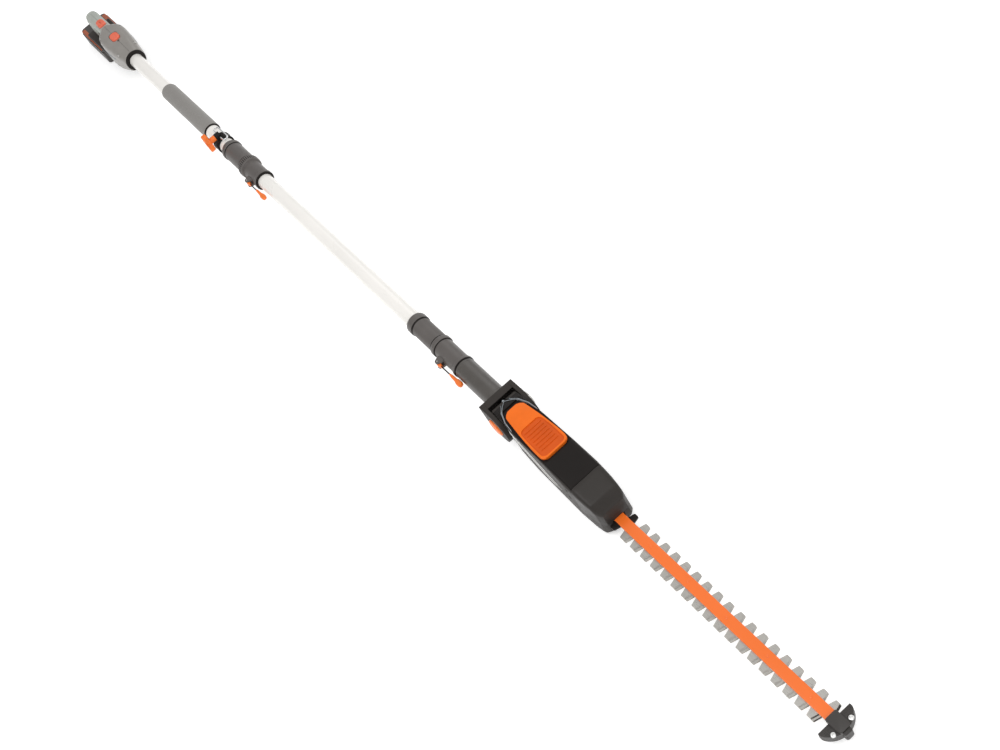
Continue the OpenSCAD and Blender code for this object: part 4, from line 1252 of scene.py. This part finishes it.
def build_tip_guard(sizes):
    """Tip guard: two halves with cross-hatched wings, a smooth centre block and a ribbed nose."""
    low, high = level_of("tip_guard_bottom", False), level_of("blade_rail", False)
    back = -438
    end = -432
    wing_top = high + 5
    outline = guard_outline(back, 30.5, end + 4, 34)
    top = prism("tip-guard-top", outline, high, wing_top, "XY", 1.0)
    boss_corners = [(end, -10.6), (end, 10.6), (end - 26, 10.6), (end - 30, 8), (end - 30, -8),
                    (end - 26, -10.6)]
    boss = prism("guard-boss", round_corners(boss_corners, 2), high, -31.2, "XY", 1.2)
    nose_outline = round_corners([(end - 20, -7), (end - 20, 7), (end - 36, 7), (end - 36, -7)], 3)
    nose = prism("guard-nose", nose_outline, high, -34.2, "XY", 1.0)
    cut(top, boss, nose, operation="UNION")
    channel = upright_box("rail-channel", end - 0.5, end + 20, -9.45, 9.45, high - 3, -36.3, 0.3, 0)
    screw_at, screw_y = end - 22, 17
    seat = [(wing_top - 0.8, 5.2), (wing_top + 6, 5.4)]
    recesses = [lathe(f"washer-seat{s}", seat, (screw_at, s * screw_y), 36, "Z") for s in (-1, 1)]
    cut(top, channel, *recesses)
    shade(top.data, 32)
    finish_piece(top, "head", "charcoal_nylon", ["tip_guard_top"], "guard_nylon")

    under = prism("tip-guard-bottom", outline, low, high - 0.15, "XY", 1.0)
    under_nose = prism("guard-under-nose", nose_outline, low, high - 0.15, "XY", 1.0)
    cut(under, under_nose, operation="UNION")
    pocket = upright_box("blade-pocket", end - 14, end + 20, -23.5, 23.5, -46.5, high + 2, 0.3, 0)
    cut(under, pocket)
    shade(under.data, 32)
    finish_piece(under, "head", "charcoal_nylon", ["tip_guard_bottom"], "guard_nylon")

    # Cross-hatched grip ribs on the wings and steps on the nose
    pieces = []
    for side in (-1, 1):
        for i in range(8):
            b = back - 2.0 - 2.7 * i
            reach = math.sqrt(max(0.0, 33.0 ** 2 - (b - end - 4) ** 2))
            outer = min(29.2, reach)
            beside_screw = abs(b - screw_at) < 6.4
            if outer < 13.5 or beside_screw and outer <= 25 or 13 < end - b < 30 and outer < 14:
                continue
            y_ends = sorted((side * (23.4 if beside_screw else 12.2), side * outer))
            pieces.append(upright_box(f"hatch{side}{i}", b - 0.55, b + 0.55, *y_ends, wing_top - 0.3,
                                      wing_top + 0.55, 0.5, 0.2))
        for k in range(6):
            y = side * (13.4 + 2.9 * k)
            reach = math.sqrt(max(0.0, 33.0 ** 2 - y ** 2))
            far = max(end + 4 - reach, back - 15.4 if abs(abs(y) - screw_y) < 6.4 else end + 4 - reach)
            pieces.append(upright_box(f"cross{side}{k}", far, back - 1.4, y - 0.5, y + 0.5, wing_top - 0.3,
                                      wing_top + 0.5, 0.45, 0.2))
    for k in range(4):
        b = end - 31.4 - 1.35 * k
        pieces.append(upright_box(f"step{k}", b - 0.4, b + 0.4, -6.2, 6.2, -35, -33.9, 0.35, 0.15))
    hatch = join("guard-ribs", pieces)
    shade(hatch.data, 35)
    finish_piece(hatch, "head", "charcoal_nylon", finish="guard_nylon")

    screws = place_on_points("guard-screws", screw_unit("guard-screw", 4.1, 2.0, "Z"),
                             [at(screw_at, s * screw_y, wing_top - 0.6) for s in (-1, 1)])
    shank = [(-50, 1.8), (wing_top - 0.4, 1.9)]
    shanks = [lathe(f"shank{s}", shank, (screw_at, s * screw_y), 20, "Z") for s in (-1, 1)]
    both = join("tip-screws", [screws] + shanks)
    shade(both.data, 30)
    finish_piece(both, "head", "steel_fastener", ["tip_screws"], "zinc_white")


# ---- rear handle ---------------------------------------------------------------------------

LOCK_AT = GRIP_FRONT + 27
POWER_AT = GRIP_FRONT - 45
GRIP_TOP = 40
HANDLE_SCREWS = [(COLLAR[1] + 22, 22), (COLLAR[1] + 67, -26), (GRIP_FRONT - 16, 30)]


def handle_solid(sizes):
    """Housing, hand grip, rear pillar and dock skirt blended into one moulded skin."""
    front = COLLAR[1]
    body = moulding("handle-skin", [
        (front - 1, 23.6, 22.4, -22.4, 15, 14), (front + 6, 25.0, 24.4, -24.0, 16, 12),
        (front + 26, 28.4, 29, -27.6, 17, 9), (front + 44, 31.0, 32.4, -30.6, 18, 6),
        (front + 68, 33.2, 35.4, -33, 18, 4), (front + 88, 34.0, 37.4, -33, 17, 4),
        (front + 101, 33.4, 38.4, -33, 16, 4), (front + 111, 30.4, 38.8, -33, 15, 4),
        (front + 119, 23.5, 38.6, -33, 13, 4), (front + 124, 17, 38.2, -33, 11, 4),
    ], step=4)
    half = 15.5
    bar = moulding("grip-bar", [
        (GRIP_FRONT - 30, half - 1, 38.0, 9, 12, 10), (GRIP_FRONT + 6, half, 39.6, 8.6, 12, 11),
        (GRIP_FRONT + 50, half, GRIP_TOP, 8.4, 13, 12), (GRIP_BACK - 26, half, GRIP_TOP - 0.4, 8, 13, 12),
        (GRIP_BACK - 12, half - 1, GRIP_TOP - 3, 6, 12, 11),
        (GRIP_BACK - 4, half - 4, GRIP_TOP - 9, 2, 10, 9),
        (GRIP_BACK - 1, half - 8, GRIP_TOP - 16, -2, 8, 8),
    ], step=4)
    pillar_corners = [(GRIP_BACK - 30, 20), (GRIP_BACK - 3, 24), (GRIP_BACK - 1, -12), (GRIP_BACK + 16, -26),
                      (GRIP_BACK + 16, -33), (GRIP_BACK - 44, -33), (GRIP_BACK - 33, -20)]
    pillar = prism("grip-pillar", round_corners(pillar_corners, 8), -half, half, "XZ", 7, 5)
    skirt = moulding("dock-skirt", [
        (GRIP_FRONT - 30, half, -24.4, -33.3, 4, 1), (GRIP_BACK + 17, half, -24.4, -33.3, 4, 1),
        (GRIP_BACK + 19, half - 2, -25.4, -33.3, 3, 1),
    ], step=6)
    web_corners = [(GRIP_FRONT - 12, 12), (GRIP_FRONT + 8, 12), (GRIP_FRONT + 2, -6), (GRIP_FRONT + 4, -26),
                   (GRIP_FRONT - 12, -30)]
    web = prism("trigger-web", round_corners(web_corners, 3), -half, half, "XZ", 2)
    cut(body, bar, pillar, skirt, web, operation="UNION")
    return remesh(body, sizes.handle_voxel, 6, 0.6)


def build_handle(sizes):
    """Handle: one moulded skin, cut into two shells and the pale cover of the hand grip's end."""
    solid = handle_solid(sizes)
    cutters = []
    for spot, length, width, depth, name in ((LOCK_AT, 30.8, 20.8, GRIP_TOP - 8.6, "lock"),
                                             (POWER_AT, 30.8, 22.8, GRIP_TOP - 13, "power")):
        outline = round_box_outline(spot - length / 2, spot + length / 2, -width / 2, width / 2, 7.4)
        cutters.append(prism(name + "-pocket", outline, depth, 60, "XY", 0))
    cutters.append(upright_box("trigger-slot", GRIP_FRONT + 0.5, GRIP_FRONT + 62, -6.4, 6.4, -5, 16, 1.5, 0))
    cutters.append(lathe("tube-bore", [(COLLAR[0] - 6, TUBE_R), (COLLAR[1] + 52, TUBE_R)], segments=64))
    cutters.append(lathe("vent-screw-well", [(GRIP_TOP - 14, 3.0), (GRIP_TOP + 6, 3.2)],
                         (COLLAR[1] + 53, 0), 24, "Z"))
    for b, level in HANDLE_SCREWS:
        for side in (-1, 1):
            profile = sorted([(side * 24.6, 3.8), (side * 45, 4.0)])
            cutters.append(lathe(f"well-{b:.0f}-{side}", profile, (b, level), 24, "Y"))
    cut(solid, *cutters)
    cover_plane = at(GRIP_BACK - 26)
    waist, foot = at(0, 0, -8).z, at(0, 0, -32.6).z
    seam = sizes.seam_gap * MM
    for side, node in ((1, "handle_shell_left"), (-1, "handle_shell_right")):
        planes = [((0, side * seam / 2, 0), (0, 1, 0)), ((cover_plane.x + seam, 0, 0), (1, 0, 0)),
                  ((0, 0, waist), (0, 0, 1)), ((0, 0, foot), (0, 0, 1))]

        def keep(p, side=side):
            if p.y * side < seam / 2 or p.z < foot:
                return False
            return not (p.x < cover_plane.x + seam and p.z > waist)

        shell = skin_part(solid, node.replace("_", "-"), keep, planes, sizes.shell_wall, 45)
        finish_piece(shell, "handle", "grey_nylon", [node], "handle_shell")
        second_finish(shell, "soft_grip", lambda p: p.x < at(GRIP_FRONT + 9).x and p.z > waist)
    planes = [((cover_plane.x, 0, 0), (1, 0, 0)), ((0, 0, waist + seam), (0, 0, 1))]
    cap = skin_part(solid, "grip-cover", lambda p: p.x < cover_plane.x and p.z > waist + seam, planes,
                    sizes.shell_wall, 45)
    finish_piece(cap, "handle", "soft_grip", ["grip_cover"])
    remove(solid)
    build_handle_trim(sizes)


def build_handle_trim(sizes):
    """Front collar, case screws, silver shoulder beads of painted highlight and the dock plate that the
    battery slides on.
    """
    front, back = COLLAR
    outer = 24.4
    profile = [(front, TUBE_R + 0.02), (front, outer - 2.4)] + rounded(front, outer, 2.2, 1)[1:]
    profile += [(back - 1.2, outer), (back - 0.4, outer - 0.4), (back, outer - 1.2), (back, TUBE_R + 0.02)]
    collar = lathe("handle-front-collar", profile, segments=112, loop=True)
    finish_piece(collar, "handle", "charcoal_nylon", ["handle_front_collar"], "black_nylon")

    screws = []
    for side in (-1, 1):
        unit = screw_unit("case-screw", 3.4, 1.4)
        if side > 0:
            unit.data.transform(Matrix.Rotation(math.pi, 4, "Z"))
        screws.append(place_on_points(f"case-screws{side}", unit,
                                      [at(b, side * 24.4, level) for b, level in HANDLE_SCREWS]))
    shank = [(-24, 1.9), (24, 1.9)]
    shanks = [lathe(f"case-shank{b:.0f}", shank, (b, level), 20, "Y") for b, level in HANDLE_SCREWS]
    both = join("handle-screws", screws + shanks)
    shade(both.data, 30)
    finish_piece(both, "handle", "steel_fastener", ["handle_screws"])

    # Raised silver beads along the shoulders of the housing, on both sides: painted highlight for the light
    # on the glossy shoulders
    for side, label in ((-1, "right"), (1, "left")):
        beads = []
        for lift, inset in ((0.0, 0.0), (-5.0, 0.2)):
            path = []
            for b, y, z in ((COLLAR[1] + 50, 31.8, 4), (COLLAR[1] + 74, 33.8, 6), (COLLAR[1] + 93, 33.9, 9),
                            (COLLAR[1] + 105, 32.2, 13), (COLLAR[1] + 114, 27.6, 19),
                            (COLLAR[1] + 120, 21.2, 25)):
                path.append(at(b, side * (y - inset - 0.2), z + lift))
            beads.append(bead("shoulder", smooth_path(path, 30), [0.9] * 30))
        both = join(f"shoulder-trim-{label}", beads)
        shade(both.data, 60)
        finish_piece(both, "handle", "grey_nylon", finish="silver_trim_and_painted_highlight")

    low, high = level_of("battery_dock", False), level_of("battery_dock")
    dock = moulding("battery-dock", [
        (DOCK[0], 30.5, high, low, 2, 0.6), (DOCK[0] + 2, 32.6, high, low, 3, 0.6),
        (DOCK[0] + 5, 33, high, low, 3, 0.6), (DOCK[1] - 3, 33, high, low, 3, 0.6),
        (DOCK[1], 32, high - 0.8, low, 3, 0.6),
    ], step=8)
    channel = upright_box("dock-channel", GRIP_FRONT - 60, DOCK[1] + 2, -20, 20, low - 1, low + 5, 0.4, 0)
    undercut = upright_box("dock-undercut", BATTERY[0] + 8, DOCK[1] + 2, -26, 26, low + 2, low + 5, 0.4, 0)
    hollow = upright_box("dock-hollow", GRIP_FRONT - 20, GRIP_BACK + 14, -14, 14, high - 3, high + 1, 1, 0)
    cut(dock, channel, undercut, hollow)
    shade(dock.data, 35)
    finish_piece(dock, "handle", "charcoal_nylon", ["battery_dock"])


def smooth_path(points, count):
    """A Catmull-Rom curve through points, as a list of `count` points."""
    ends = [points[0] * 2 - points[1]] + points + [points[-1] * 2 - points[-2]]
    result = []
    for i in range(count):
        t = i / (count - 1) * (len(points) - 1)
        k = min(int(t), len(points) - 2)
        t -= k
        a, b, c, d = ends[k:k + 4]
        result.append(0.5 * ((2 * b) + (c - a) * t + (2 * a - 5 * b + 4 * c - d) * t * t
                             + (3 * b - a - 3 * c + d) * t ** 3))
    return result


def build_buttons(sizes):
    """Two push buttons with dished tops, and the trigger with its finger curve."""
    for name, spot, width, node in (("lock-button", LOCK_AT, 20, "lock_button"),
                                    ("power-button", POWER_AT, 22, "power_button")):
        low, high = level_of(node, False), level_of(node)
        top = high - 0.4
        rings = []
        length = 30
        for inset, level in ((0, low), (0, top - 3.2), (0.5, top - 1.6), (1.7, top - 0.5), (3.4, top),
                             (5.2, top - 0.3), (7.2, top - 0.9), (8.8, top - 1.2)):
            half_l, half_w = length / 2 - inset, width / 2 - inset
            outline = round_box_outline(spot - half_l, spot + half_l, -half_w, half_w,
                                        max(0.5, 9.6 - inset * 0.9))
            rings.append([at(b, y, level) for b, y in outline])
        bm = bmesh.new()
        skin_rings(bm, rings)
        button = new_object(name, bm, 40)
        finish_piece(button, node, "orange_plastic", [node], "button_red")
    pin = stations("trigger_pin")
    spot = sum(pin) / 2
    level = (level_of("trigger_pin") + level_of("trigger_pin", False)) / 2
    finger_curve = [(-3.6, 3.4), (50, 3), (53.6, -11), (45, -17.4), (37, -19.8), (26, -17.6), (16, -15.9),
                    (7, -9), (-2, -4)]
    outline = round_corners([(spot + b, level + h) for b, h in finger_curve], 5, 6)
    trigger = prism("trigger", outline, -5.4, 5.4, "XZ", 1.6, 4)
    bore = lathe("trigger-bore", [(-10, 1.56), (10, 1.56)], (spot, level), 24, "Y")
    cut(trigger, bore)
    shade(trigger.data, 35)
    finish_piece(trigger, "trigger", "charcoal_nylon", ["trigger"], "black_nylon")


# ---- battery -------------------------------------------------------------------------------


def build_battery(sizes):
    """Battery: fluted charcoal case, lid with its rails and burnt-orange stripes, and ribbed latch."""
    front, back = BATTERY
    low, split = level_of("battery_case", False), level_of("battery_case")
    half = 38

    def block(name, z0, z1, w, radius, bevel, trim=0.0):
        outline = round_box_outline(front + trim, back - trim, -w, w, radius)
        return prism(name, outline, z0, z1, "XY", bevel, 4)

    case = block("battery-case", low, split, half, 8, 1.6)
    hollow = block("battery-hollow", low + 2.5, split + 5, half - 2.5, 6, 0, 2.5)
    latch_bay = upright_box("latch-bay", back - 4.2, back + 2, -12.2, 12.2, split - 16.2, split + 1, 1, 0)
    cutters = [hollow, latch_bay]
    for side in (-1, 1):
        for i in range(6):
            b = front + 26 + 17 * i
            y_ends = sorted((side * (half - 0.9), side * (half + 3)))
            cutters.append(upright_box(f"flute{side}{i}", b, b + 9, *y_ends, low + 7, split - 9, 0.8, 0))
    cut(case, *cutters)
    shade(case.data, 35)
    finish_piece(case, "battery", "battery_shell", ["battery_case"])

    lid_low, lid_high = level_of("battery_lid", False), level_of("battery_lid")
    seat = level_of("battery_dock", False) - 0.3
    lid = block("battery-lid", lid_low, seat, half - 2, 8, 1.2)
    tongue = upright_box("tongue", front + 2, DOCK[1] - 1, -19.5, 19.5, seat - 0.5, seat + 2.5, 1, 0)
    rails = upright_box("rails", front + 9, DOCK[1] - 1, -25.5, 25.5, seat + 2.5, lid_high, 1, 0)
    neck_cut = [upright_box(f"side-line{s}", front + 6, back - 6, *sorted((s * (half - 2.8), s * (half + 1))),
                            lid_low + 1.8, lid_low + 2.7, 0.4, 0) for s in (-1, 1)]
    cut(lid, tongue, rails, operation="UNION")
    cut(lid, *neck_cut)
    shade(lid.data, 35)
    finish_piece(lid, "battery", "battery_rail", ["battery_lid"], "battery_shell")
    stripes = []
    for s in (-1, 1):
        for k in range(3):
            y_ends = sorted((s * (26.6 + 3.4 * k), s * (29.2 + 3.4 * k)))
            stripes.append(upright_box(f"stripe{s}{k}", front + 7, back - 7, *y_ends, seat - 0.8, seat + 0.2,
                                       0.6, 0.2))
    both = join("battery-lid-stripes", stripes)
    shade(both.data, 35)
    finish_piece(both, "battery", "battery_rail")

    rib = upright_box("latch-rib", back - 1.6, back - 0.1, -8, 8, split - 13.6, split - 12.6, 0.4, 0.15)
    rib.data.transform(Matrix.Translation(-at(0, 0, 0)))
    ribs = repeat(rib, 5, at(0, 0, 0), (0, 0, 2.4 * MM))
    plate = upright_box("battery-latch", back - 3.5, back - 0.8, -10.9, 10.9, split - 15, split - 1.2, 1, 0.5)
    latch = join("battery-latch", [plate, ribs])
    shade(latch.data, 35)
    finish_piece(latch, "battery_latch", "orange_plastic", ["battery_latch"])


# ---- parts kept from the frame -------------------------------------------------------------

KEPT = {
    "terminal_block": "black_nylon", "controller_board": "circuit_board", "switch_module": "black_nylon",
    "trigger_pin": "steel_fastener", "trigger_spring": "spring_steel", "battery_cells": "cell_sleeve",
    "pole_lead": "cable_jacket", "mid_lead": "cable_jacket", "tilt_spring": "spring_steel",
    "latch_spring": "spring_steel", "motor_can": "motor_steel", "motor_bearings": "steel_fastener",
    "motor_shaft": "steel_fastener", "pinion": "steel_fastener", "gear_plate": "cast_aluminium",
    "gear_axle": "steel_fastener", "drive_gear": "steel_fastener", "cam_pair": "steel_fastener",
}


def paint_kept():
    """Gives the frame's own inner parts their finishes."""
    for node, slot in KEPT.items():
        obj = NODES[node]
        if obj.data.materials:
            for i in range(len(obj.data.materials)):
                obj.data.materials[i] = FINISHES[slot]
        else:
            obj.data.materials.append(FINISHES[slot])


# ---- stage ---------------------------------------------------------------------------------


def build_stage(stage):
    """Pale paper floor, even surround, three soft lights and the camera."""
    floor_bm = bmesh.new()
    bmesh.ops.create_grid(floor_bm, x_segments=8, y_segments=8, size=12,
                          matrix=Matrix.Translation((0, 0, CAD_BOX[0][2] - 0.0005)))
    floor = new_object("studio-floor", floor_bm)
    material, tree = blank_material("Matt white studio paper")
    fibre = grain(tree, 3.0, detail=3.0)
    surface = add(tree, "ShaderNodeBsdfPrincipled", None, {
        "Base Color": (*stage.floor_colour, 1), "Roughness": 0.95, "Specular IOR Level": 0.1,
        "Emission Color": (1, 1, 1, 1), "Emission Strength": stage.glow,
    })
    close_material(tree, surface, [(fibre, 0.02)])
    floor.data.materials.append(material)

    world = bpy.data.worlds.new("studio-light") if not bpy.context.scene.world else bpy.context.scene.world
    bpy.context.scene.world = world
    world.use_nodes = True
    back = world.node_tree.nodes.get("Background") or world.node_tree.nodes.new("ShaderNodeBackground")
    back.inputs["Color"].default_value = (1, 1, 1, 1)
    back.inputs["Strength"].default_value = stage.sky

    middle = Vector(((CAD_BOX[0][0] + CAD_BOX[1][0]) / 2, 0, AXIS_Z))
    for name, offset, size, power in (
        ("key-softbox", (1.0, -0.8, 2.6), (2.4, 1.6), stage.key),
        ("fill-softbox", (-1.5, 1.8, 2.2), (2.6, 1.8), stage.fill),
        ("head-softbox", (2.2, 1.2, 2.0), (1.8, 1.2), stage.side),
    ):
        lamp = bpy.data.lights.new(name, "AREA")
        lamp.shape = "RECTANGLE"
        lamp.size, lamp.size_y = size
        lamp.energy = power
        holder = bpy.data.objects.new(name, lamp)
        bpy.context.scene.collection.objects.link(holder)
        holder.location = middle + Vector(offset)
        holder.rotation_euler = (-Vector(offset)).to_track_quat("-Z", "Y").to_euler()

    camera = bpy.data.cameras.new("catalogue-camera")
    camera.lens = stage.lens
    camera.sensor_width = 36
    camera.clip_end = 100
    holder = bpy.data.objects.new("catalogue-camera", camera)
    bpy.context.scene.collection.objects.link(holder)
    look = Vector(stage.camera_look).normalized()
    down = Vector(stage.camera_down)
    up = -(down - look * down.dot(look)).normalized()
    right = look.cross(up)
    turn = Matrix((right, up, -look)).transposed().to_4x4()
    holder.matrix_world = Matrix.Translation(Vector(stage.camera_place)) @ turn
    bpy.context.scene.camera = holder
    bpy.context.scene.view_settings.view_transform = "Standard"


# ---- add-on --------------------------------------------------------------------------------


def colour_property(name, description, code):
    return FloatVectorProperty(name=name, description=description, default=linear(code), size=3, min=0, max=1,
                               subtype="COLOR")


class TrimmerColours(bpy.types.PropertyGroup):
    """Colours of the trimmer's moulded and enamelled parts."""

    tube: colour_property("Tube", "White enamel of both pole tubes", "#f0ede8")
    foam: colour_property("Foam", "Foam sleeve on the pole", "#8f8c88")
    dark: colour_property("Couplings", "Dark grey nylon of the couplings", "#56514e")
    neck: colour_property("Neck", "Dark grey nylon of the neck", "#4a4642")
    nose: colour_property("Nose", "Dark grey nylon of the nose cover", "#2e2a27")
    charcoal: colour_property("Head", "Charcoal nylon of the head and yoke", "#34302d")
    black: colour_property("Black parts", "Black nylon", "#191513")
    grey: colour_property("Housing", "Grey nylon of the rear housing", "#8b8782")
    pale: colour_property("Grip end", "Pale grey elastomer of the hand grip's end", "#a9ada6")
    orange: colour_property("Controls", "Orange acetal of knobs, buttons and latch tab", "#ef7830")
    rail: colour_property("Rail", "Orange enamel of the blade rail", "#f2701c")
    burnt: colour_property("Battery lid", "Burnt orange of the battery lid's stripes", "#b4511f")
    steel: colour_property("Blades", "Ground blade steel", "#c9c6c0")


class TrimmerSizes(bpy.types.PropertyGroup):
    """Sizes of the finishing work; the part's own sizes come from its frame."""

    shell_wall: FloatProperty(name="Shell wall", description="Wall of the moulded shells, mm", default=2.2,
                              min=1.2, max=3)
    seam_gap: FloatProperty(name="Seam", description="Gap along a parting line, mm", default=0.5, min=0.1,
                            max=1)
    yoke_edge: FloatProperty(name="Yoke edge", description="Rounding of the yoke's edges, m",
                             default=0.0022, min=0.0005, max=0.004, subtype="DISTANCE", unit="LENGTH")
    tooth_grind: FloatProperty(name="Tooth grind", description="Width of the ground flank of a tooth, mm",
                               default=1.5, min=0.5, max=3)
    handle_voxel: FloatProperty(name="Blend", description="Grain of the handle's blended skin, mm",
                                default=1.4, min=0.8, max=3)
    latch_ribs: IntProperty(name="Latch ribs", description="Ribs in the finger hollow", default=7, min=3,
                            max=10)
    collar_ribs: IntProperty(name="Collar ribs", description="Ribs round the coupling collar", default=36,
                             min=12, max=60)


class TrimmerStage(bpy.types.PropertyGroup):
    """Camera, floor and soft light."""

    lens: FloatProperty(name="Lens", description="Focal length of the camera, mm", default=52.05, min=20,
                        max=120)
    camera_place: FloatVectorProperty(name="Camera place", description="Where the camera stands", size=3,
                                      default=(1.97215, -0.27187, 1.94819), subtype="TRANSLATION",
                                      unit="LENGTH")
    camera_look: FloatVectorProperty(name="Camera look", description="Direction the camera looks in", size=3,
                                     default=(-0.62732, 0.12451, -0.76874), subtype="DIRECTION")
    camera_down: FloatVectorProperty(name="Camera down", description="Direction of the frame's foot", size=3,
                                     default=(0.52629, -0.65982, -0.53634), subtype="DIRECTION")
    floor_colour: colour_property("Floor", "Matt paper under the trimmer", "#f4f4f4")
    glow: FloatProperty(name="Floor glow", description="Even light of the backlit table", default=0.42,
                        min=0, max=2)
    sky: FloatProperty(name="Ambient", description="Strength of the even surround", default=0.62, min=0,
                       max=5)
    key: FloatProperty(name="Key light", description="Power of the key light", default=34, min=0, max=500,
                       subtype="POWER")
    fill: FloatProperty(name="Fill light", description="Power of the fill light", default=16, min=0,
                        max=500, subtype="POWER")
    side: FloatProperty(name="Head light", description="Power of the light over the head", default=8, min=0,
                        max=500, subtype="POWER")


class TrimmerStep:
    """What all the building steps share."""

    bl_options = {"REGISTER", "UNDO"}

    def execute(self, context):
        self.build(context.scene.trimmer_sizes)
        return {"FINISHED"}


class TRIMMER_OT_finishes(TrimmerStep, bpy.types.Operator):
    """Makes every finish and paints the inner parts kept from the frame."""

    bl_idname = "trimmer.finishes"
    bl_label = "Finishes"

    def execute(self, context):
        make_finishes(context.scene.trimmer_colours)
        paint_kept()
        return {"FINISHED"}


class TRIMMER_OT_poles(TrimmerStep, bpy.types.Operator):
    """Both enamelled tubes of the pole."""

    bl_idname = "trimmer.poles"
    bl_label = "Pole tubes"

    def build(self, sizes):
        build_tubes(sizes)


class TRIMMER_OT_foam(TrimmerStep, bpy.types.Operator):
    """The foam hand grip on the rear tube."""

    bl_idname = "trimmer.foam"
    bl_label = "Foam sleeve"

    def build(self, sizes):
        build_foam(sizes)


class TRIMMER_OT_clamp(TrimmerStep, bpy.types.Operator):
    """The harness clamp with its wing knob and strap ring."""

    bl_idname = "trimmer.clamp"
    bl_label = "Harness clamp"

    def build(self, sizes):
        build_clamp(sizes)


class TRIMMER_OT_couplings(TrimmerStep, bpy.types.Operator):
    """Both couplings with their flip levers and pins."""

    bl_idname = "trimmer.couplings"
    bl_label = "Couplings"

    def build(self, sizes):
        build_rear_coupling(sizes)
        build_front_coupling(sizes)
        build_levers(sizes)


class TRIMMER_OT_neck(TrimmerStep, bpy.types.Operator):
    """The neck tube that plugs into the front coupling."""

    bl_idname = "trimmer.neck"
    bl_label = "Neck"

    def build(self, sizes):
        build_neck(sizes)


class TRIMMER_OT_yoke(TrimmerStep, bpy.types.Operator):
    """The yoke with its pivot bolt and tilt button."""

    bl_idname = "trimmer.yoke"
    bl_label = "Yoke"

    def build(self, sizes):
        build_yoke(sizes)


class TRIMMER_OT_head(TrimmerStep, bpy.types.Operator):
    """The head's shells, covers, trim and screws."""

    bl_idname = "trimmer.head"
    bl_label = "Cutter head"

    def build(self, sizes):
        build_head(sizes)


class TRIMMER_OT_latch(TrimmerStep, bpy.types.Operator):
    """The orange latch tab on top of the head."""

    bl_idname = "trimmer.latch"
    bl_label = "Latch tab"

    def build(self, sizes):
        build_latch_tab(sizes)


class TRIMMER_OT_cutter(TrimmerStep, bpy.types.Operator):
    """Both blades, the rail, its bolts and the root stops."""

    bl_idname = "trimmer.cutter"
    bl_label = "Cutter"

    def build(self, sizes):
        build_cutter(sizes)


class TRIMMER_OT_tip(TrimmerStep, bpy.types.Operator):
    """Both halves of the tip guard with screws and ribs."""

    bl_idname = "trimmer.tip"
    bl_label = "Tip guard"

    def build(self, sizes):
        build_tip_guard(sizes)


class TRIMMER_OT_handle(TrimmerStep, bpy.types.Operator):
    """The handle's shells, collar, trim, dock and screws."""

    bl_idname = "trimmer.handle"
    bl_label = "Rear handle"

    def build(self, sizes):
        build_handle(sizes)


class TRIMMER_OT_controls(TrimmerStep, bpy.types.Operator):
    """Both push buttons and the trigger."""

    bl_idname = "trimmer.controls"
    bl_label = "Controls"

    def build(self, sizes):
        build_buttons(sizes)


class TRIMMER_OT_battery(TrimmerStep, bpy.types.Operator):
    """The battery's case, lid, rails and latch."""

    bl_idname = "trimmer.battery"
    bl_label = "Battery"

    def build(self, sizes):
        build_battery(sizes)


class TRIMMER_OT_stage(TrimmerStep, bpy.types.Operator):
    """Floor, soft light and camera."""

    bl_idname = "trimmer.stage"
    bl_label = "Stage"

    def execute(self, context):
        build_stage(context.scene.trimmer_stage)
        return {"FINISHED"}


STEPS = (
    TRIMMER_OT_finishes,
    TRIMMER_OT_poles,
    TRIMMER_OT_foam,
    TRIMMER_OT_clamp,
    TRIMMER_OT_couplings,
    TRIMMER_OT_neck,
    TRIMMER_OT_yoke,
    TRIMMER_OT_head,
    TRIMMER_OT_latch,
    TRIMMER_OT_cutter,
    TRIMMER_OT_tip,
    TRIMMER_OT_handle,
    TRIMMER_OT_controls,
    TRIMMER_OT_battery,
    TRIMMER_OT_stage,
)


class TRIMMER_PT_builder(bpy.types.Panel):
    """Lists the building steps with the sizes and colours they use."""

    bl_idname = "TRIMMER_PT_builder"
    bl_label = "Pole Hedge Trimmer"
    bl_space_type = "VIEW_3D"
    bl_region_type = "UI"
    bl_category = "Trimmer"

    def draw(self, context):
        scene = context.scene
        for group in (scene.trimmer_colours, scene.trimmer_sizes, scene.trimmer_stage):
            column = self.layout.column(align=True)
            for key in group.bl_rna.properties.keys():
                if key not in {"rna_type", "name"}:
                    column.prop(group, key)
        for step in STEPS:
            self.layout.operator(step.bl_idname)


CLASSES = (TrimmerColours, TrimmerSizes, TrimmerStage, *STEPS, TRIMMER_PT_builder)


def register():
    for cls in CLASSES:
        bpy.utils.register_class(cls)
    bpy.types.Scene.trimmer_colours = PointerProperty(type=TrimmerColours)
    bpy.types.Scene.trimmer_sizes = PointerProperty(type=TrimmerSizes)
    bpy.types.Scene.trimmer_stage = PointerProperty(type=TrimmerStage)


def unregister():
    del bpy.types.Scene.trimmer_colours
    del bpy.types.Scene.trimmer_sizes
    del bpy.types.Scene.trimmer_stage
    for cls in reversed(CLASSES):
        bpy.utils.unregister_class(cls)


def main():
    register()
    for step in STEPS:
        getattr(bpy.ops.trimmer, step.bl_idname.split(".")[1])()


if __name__ == "__main__":
    main()
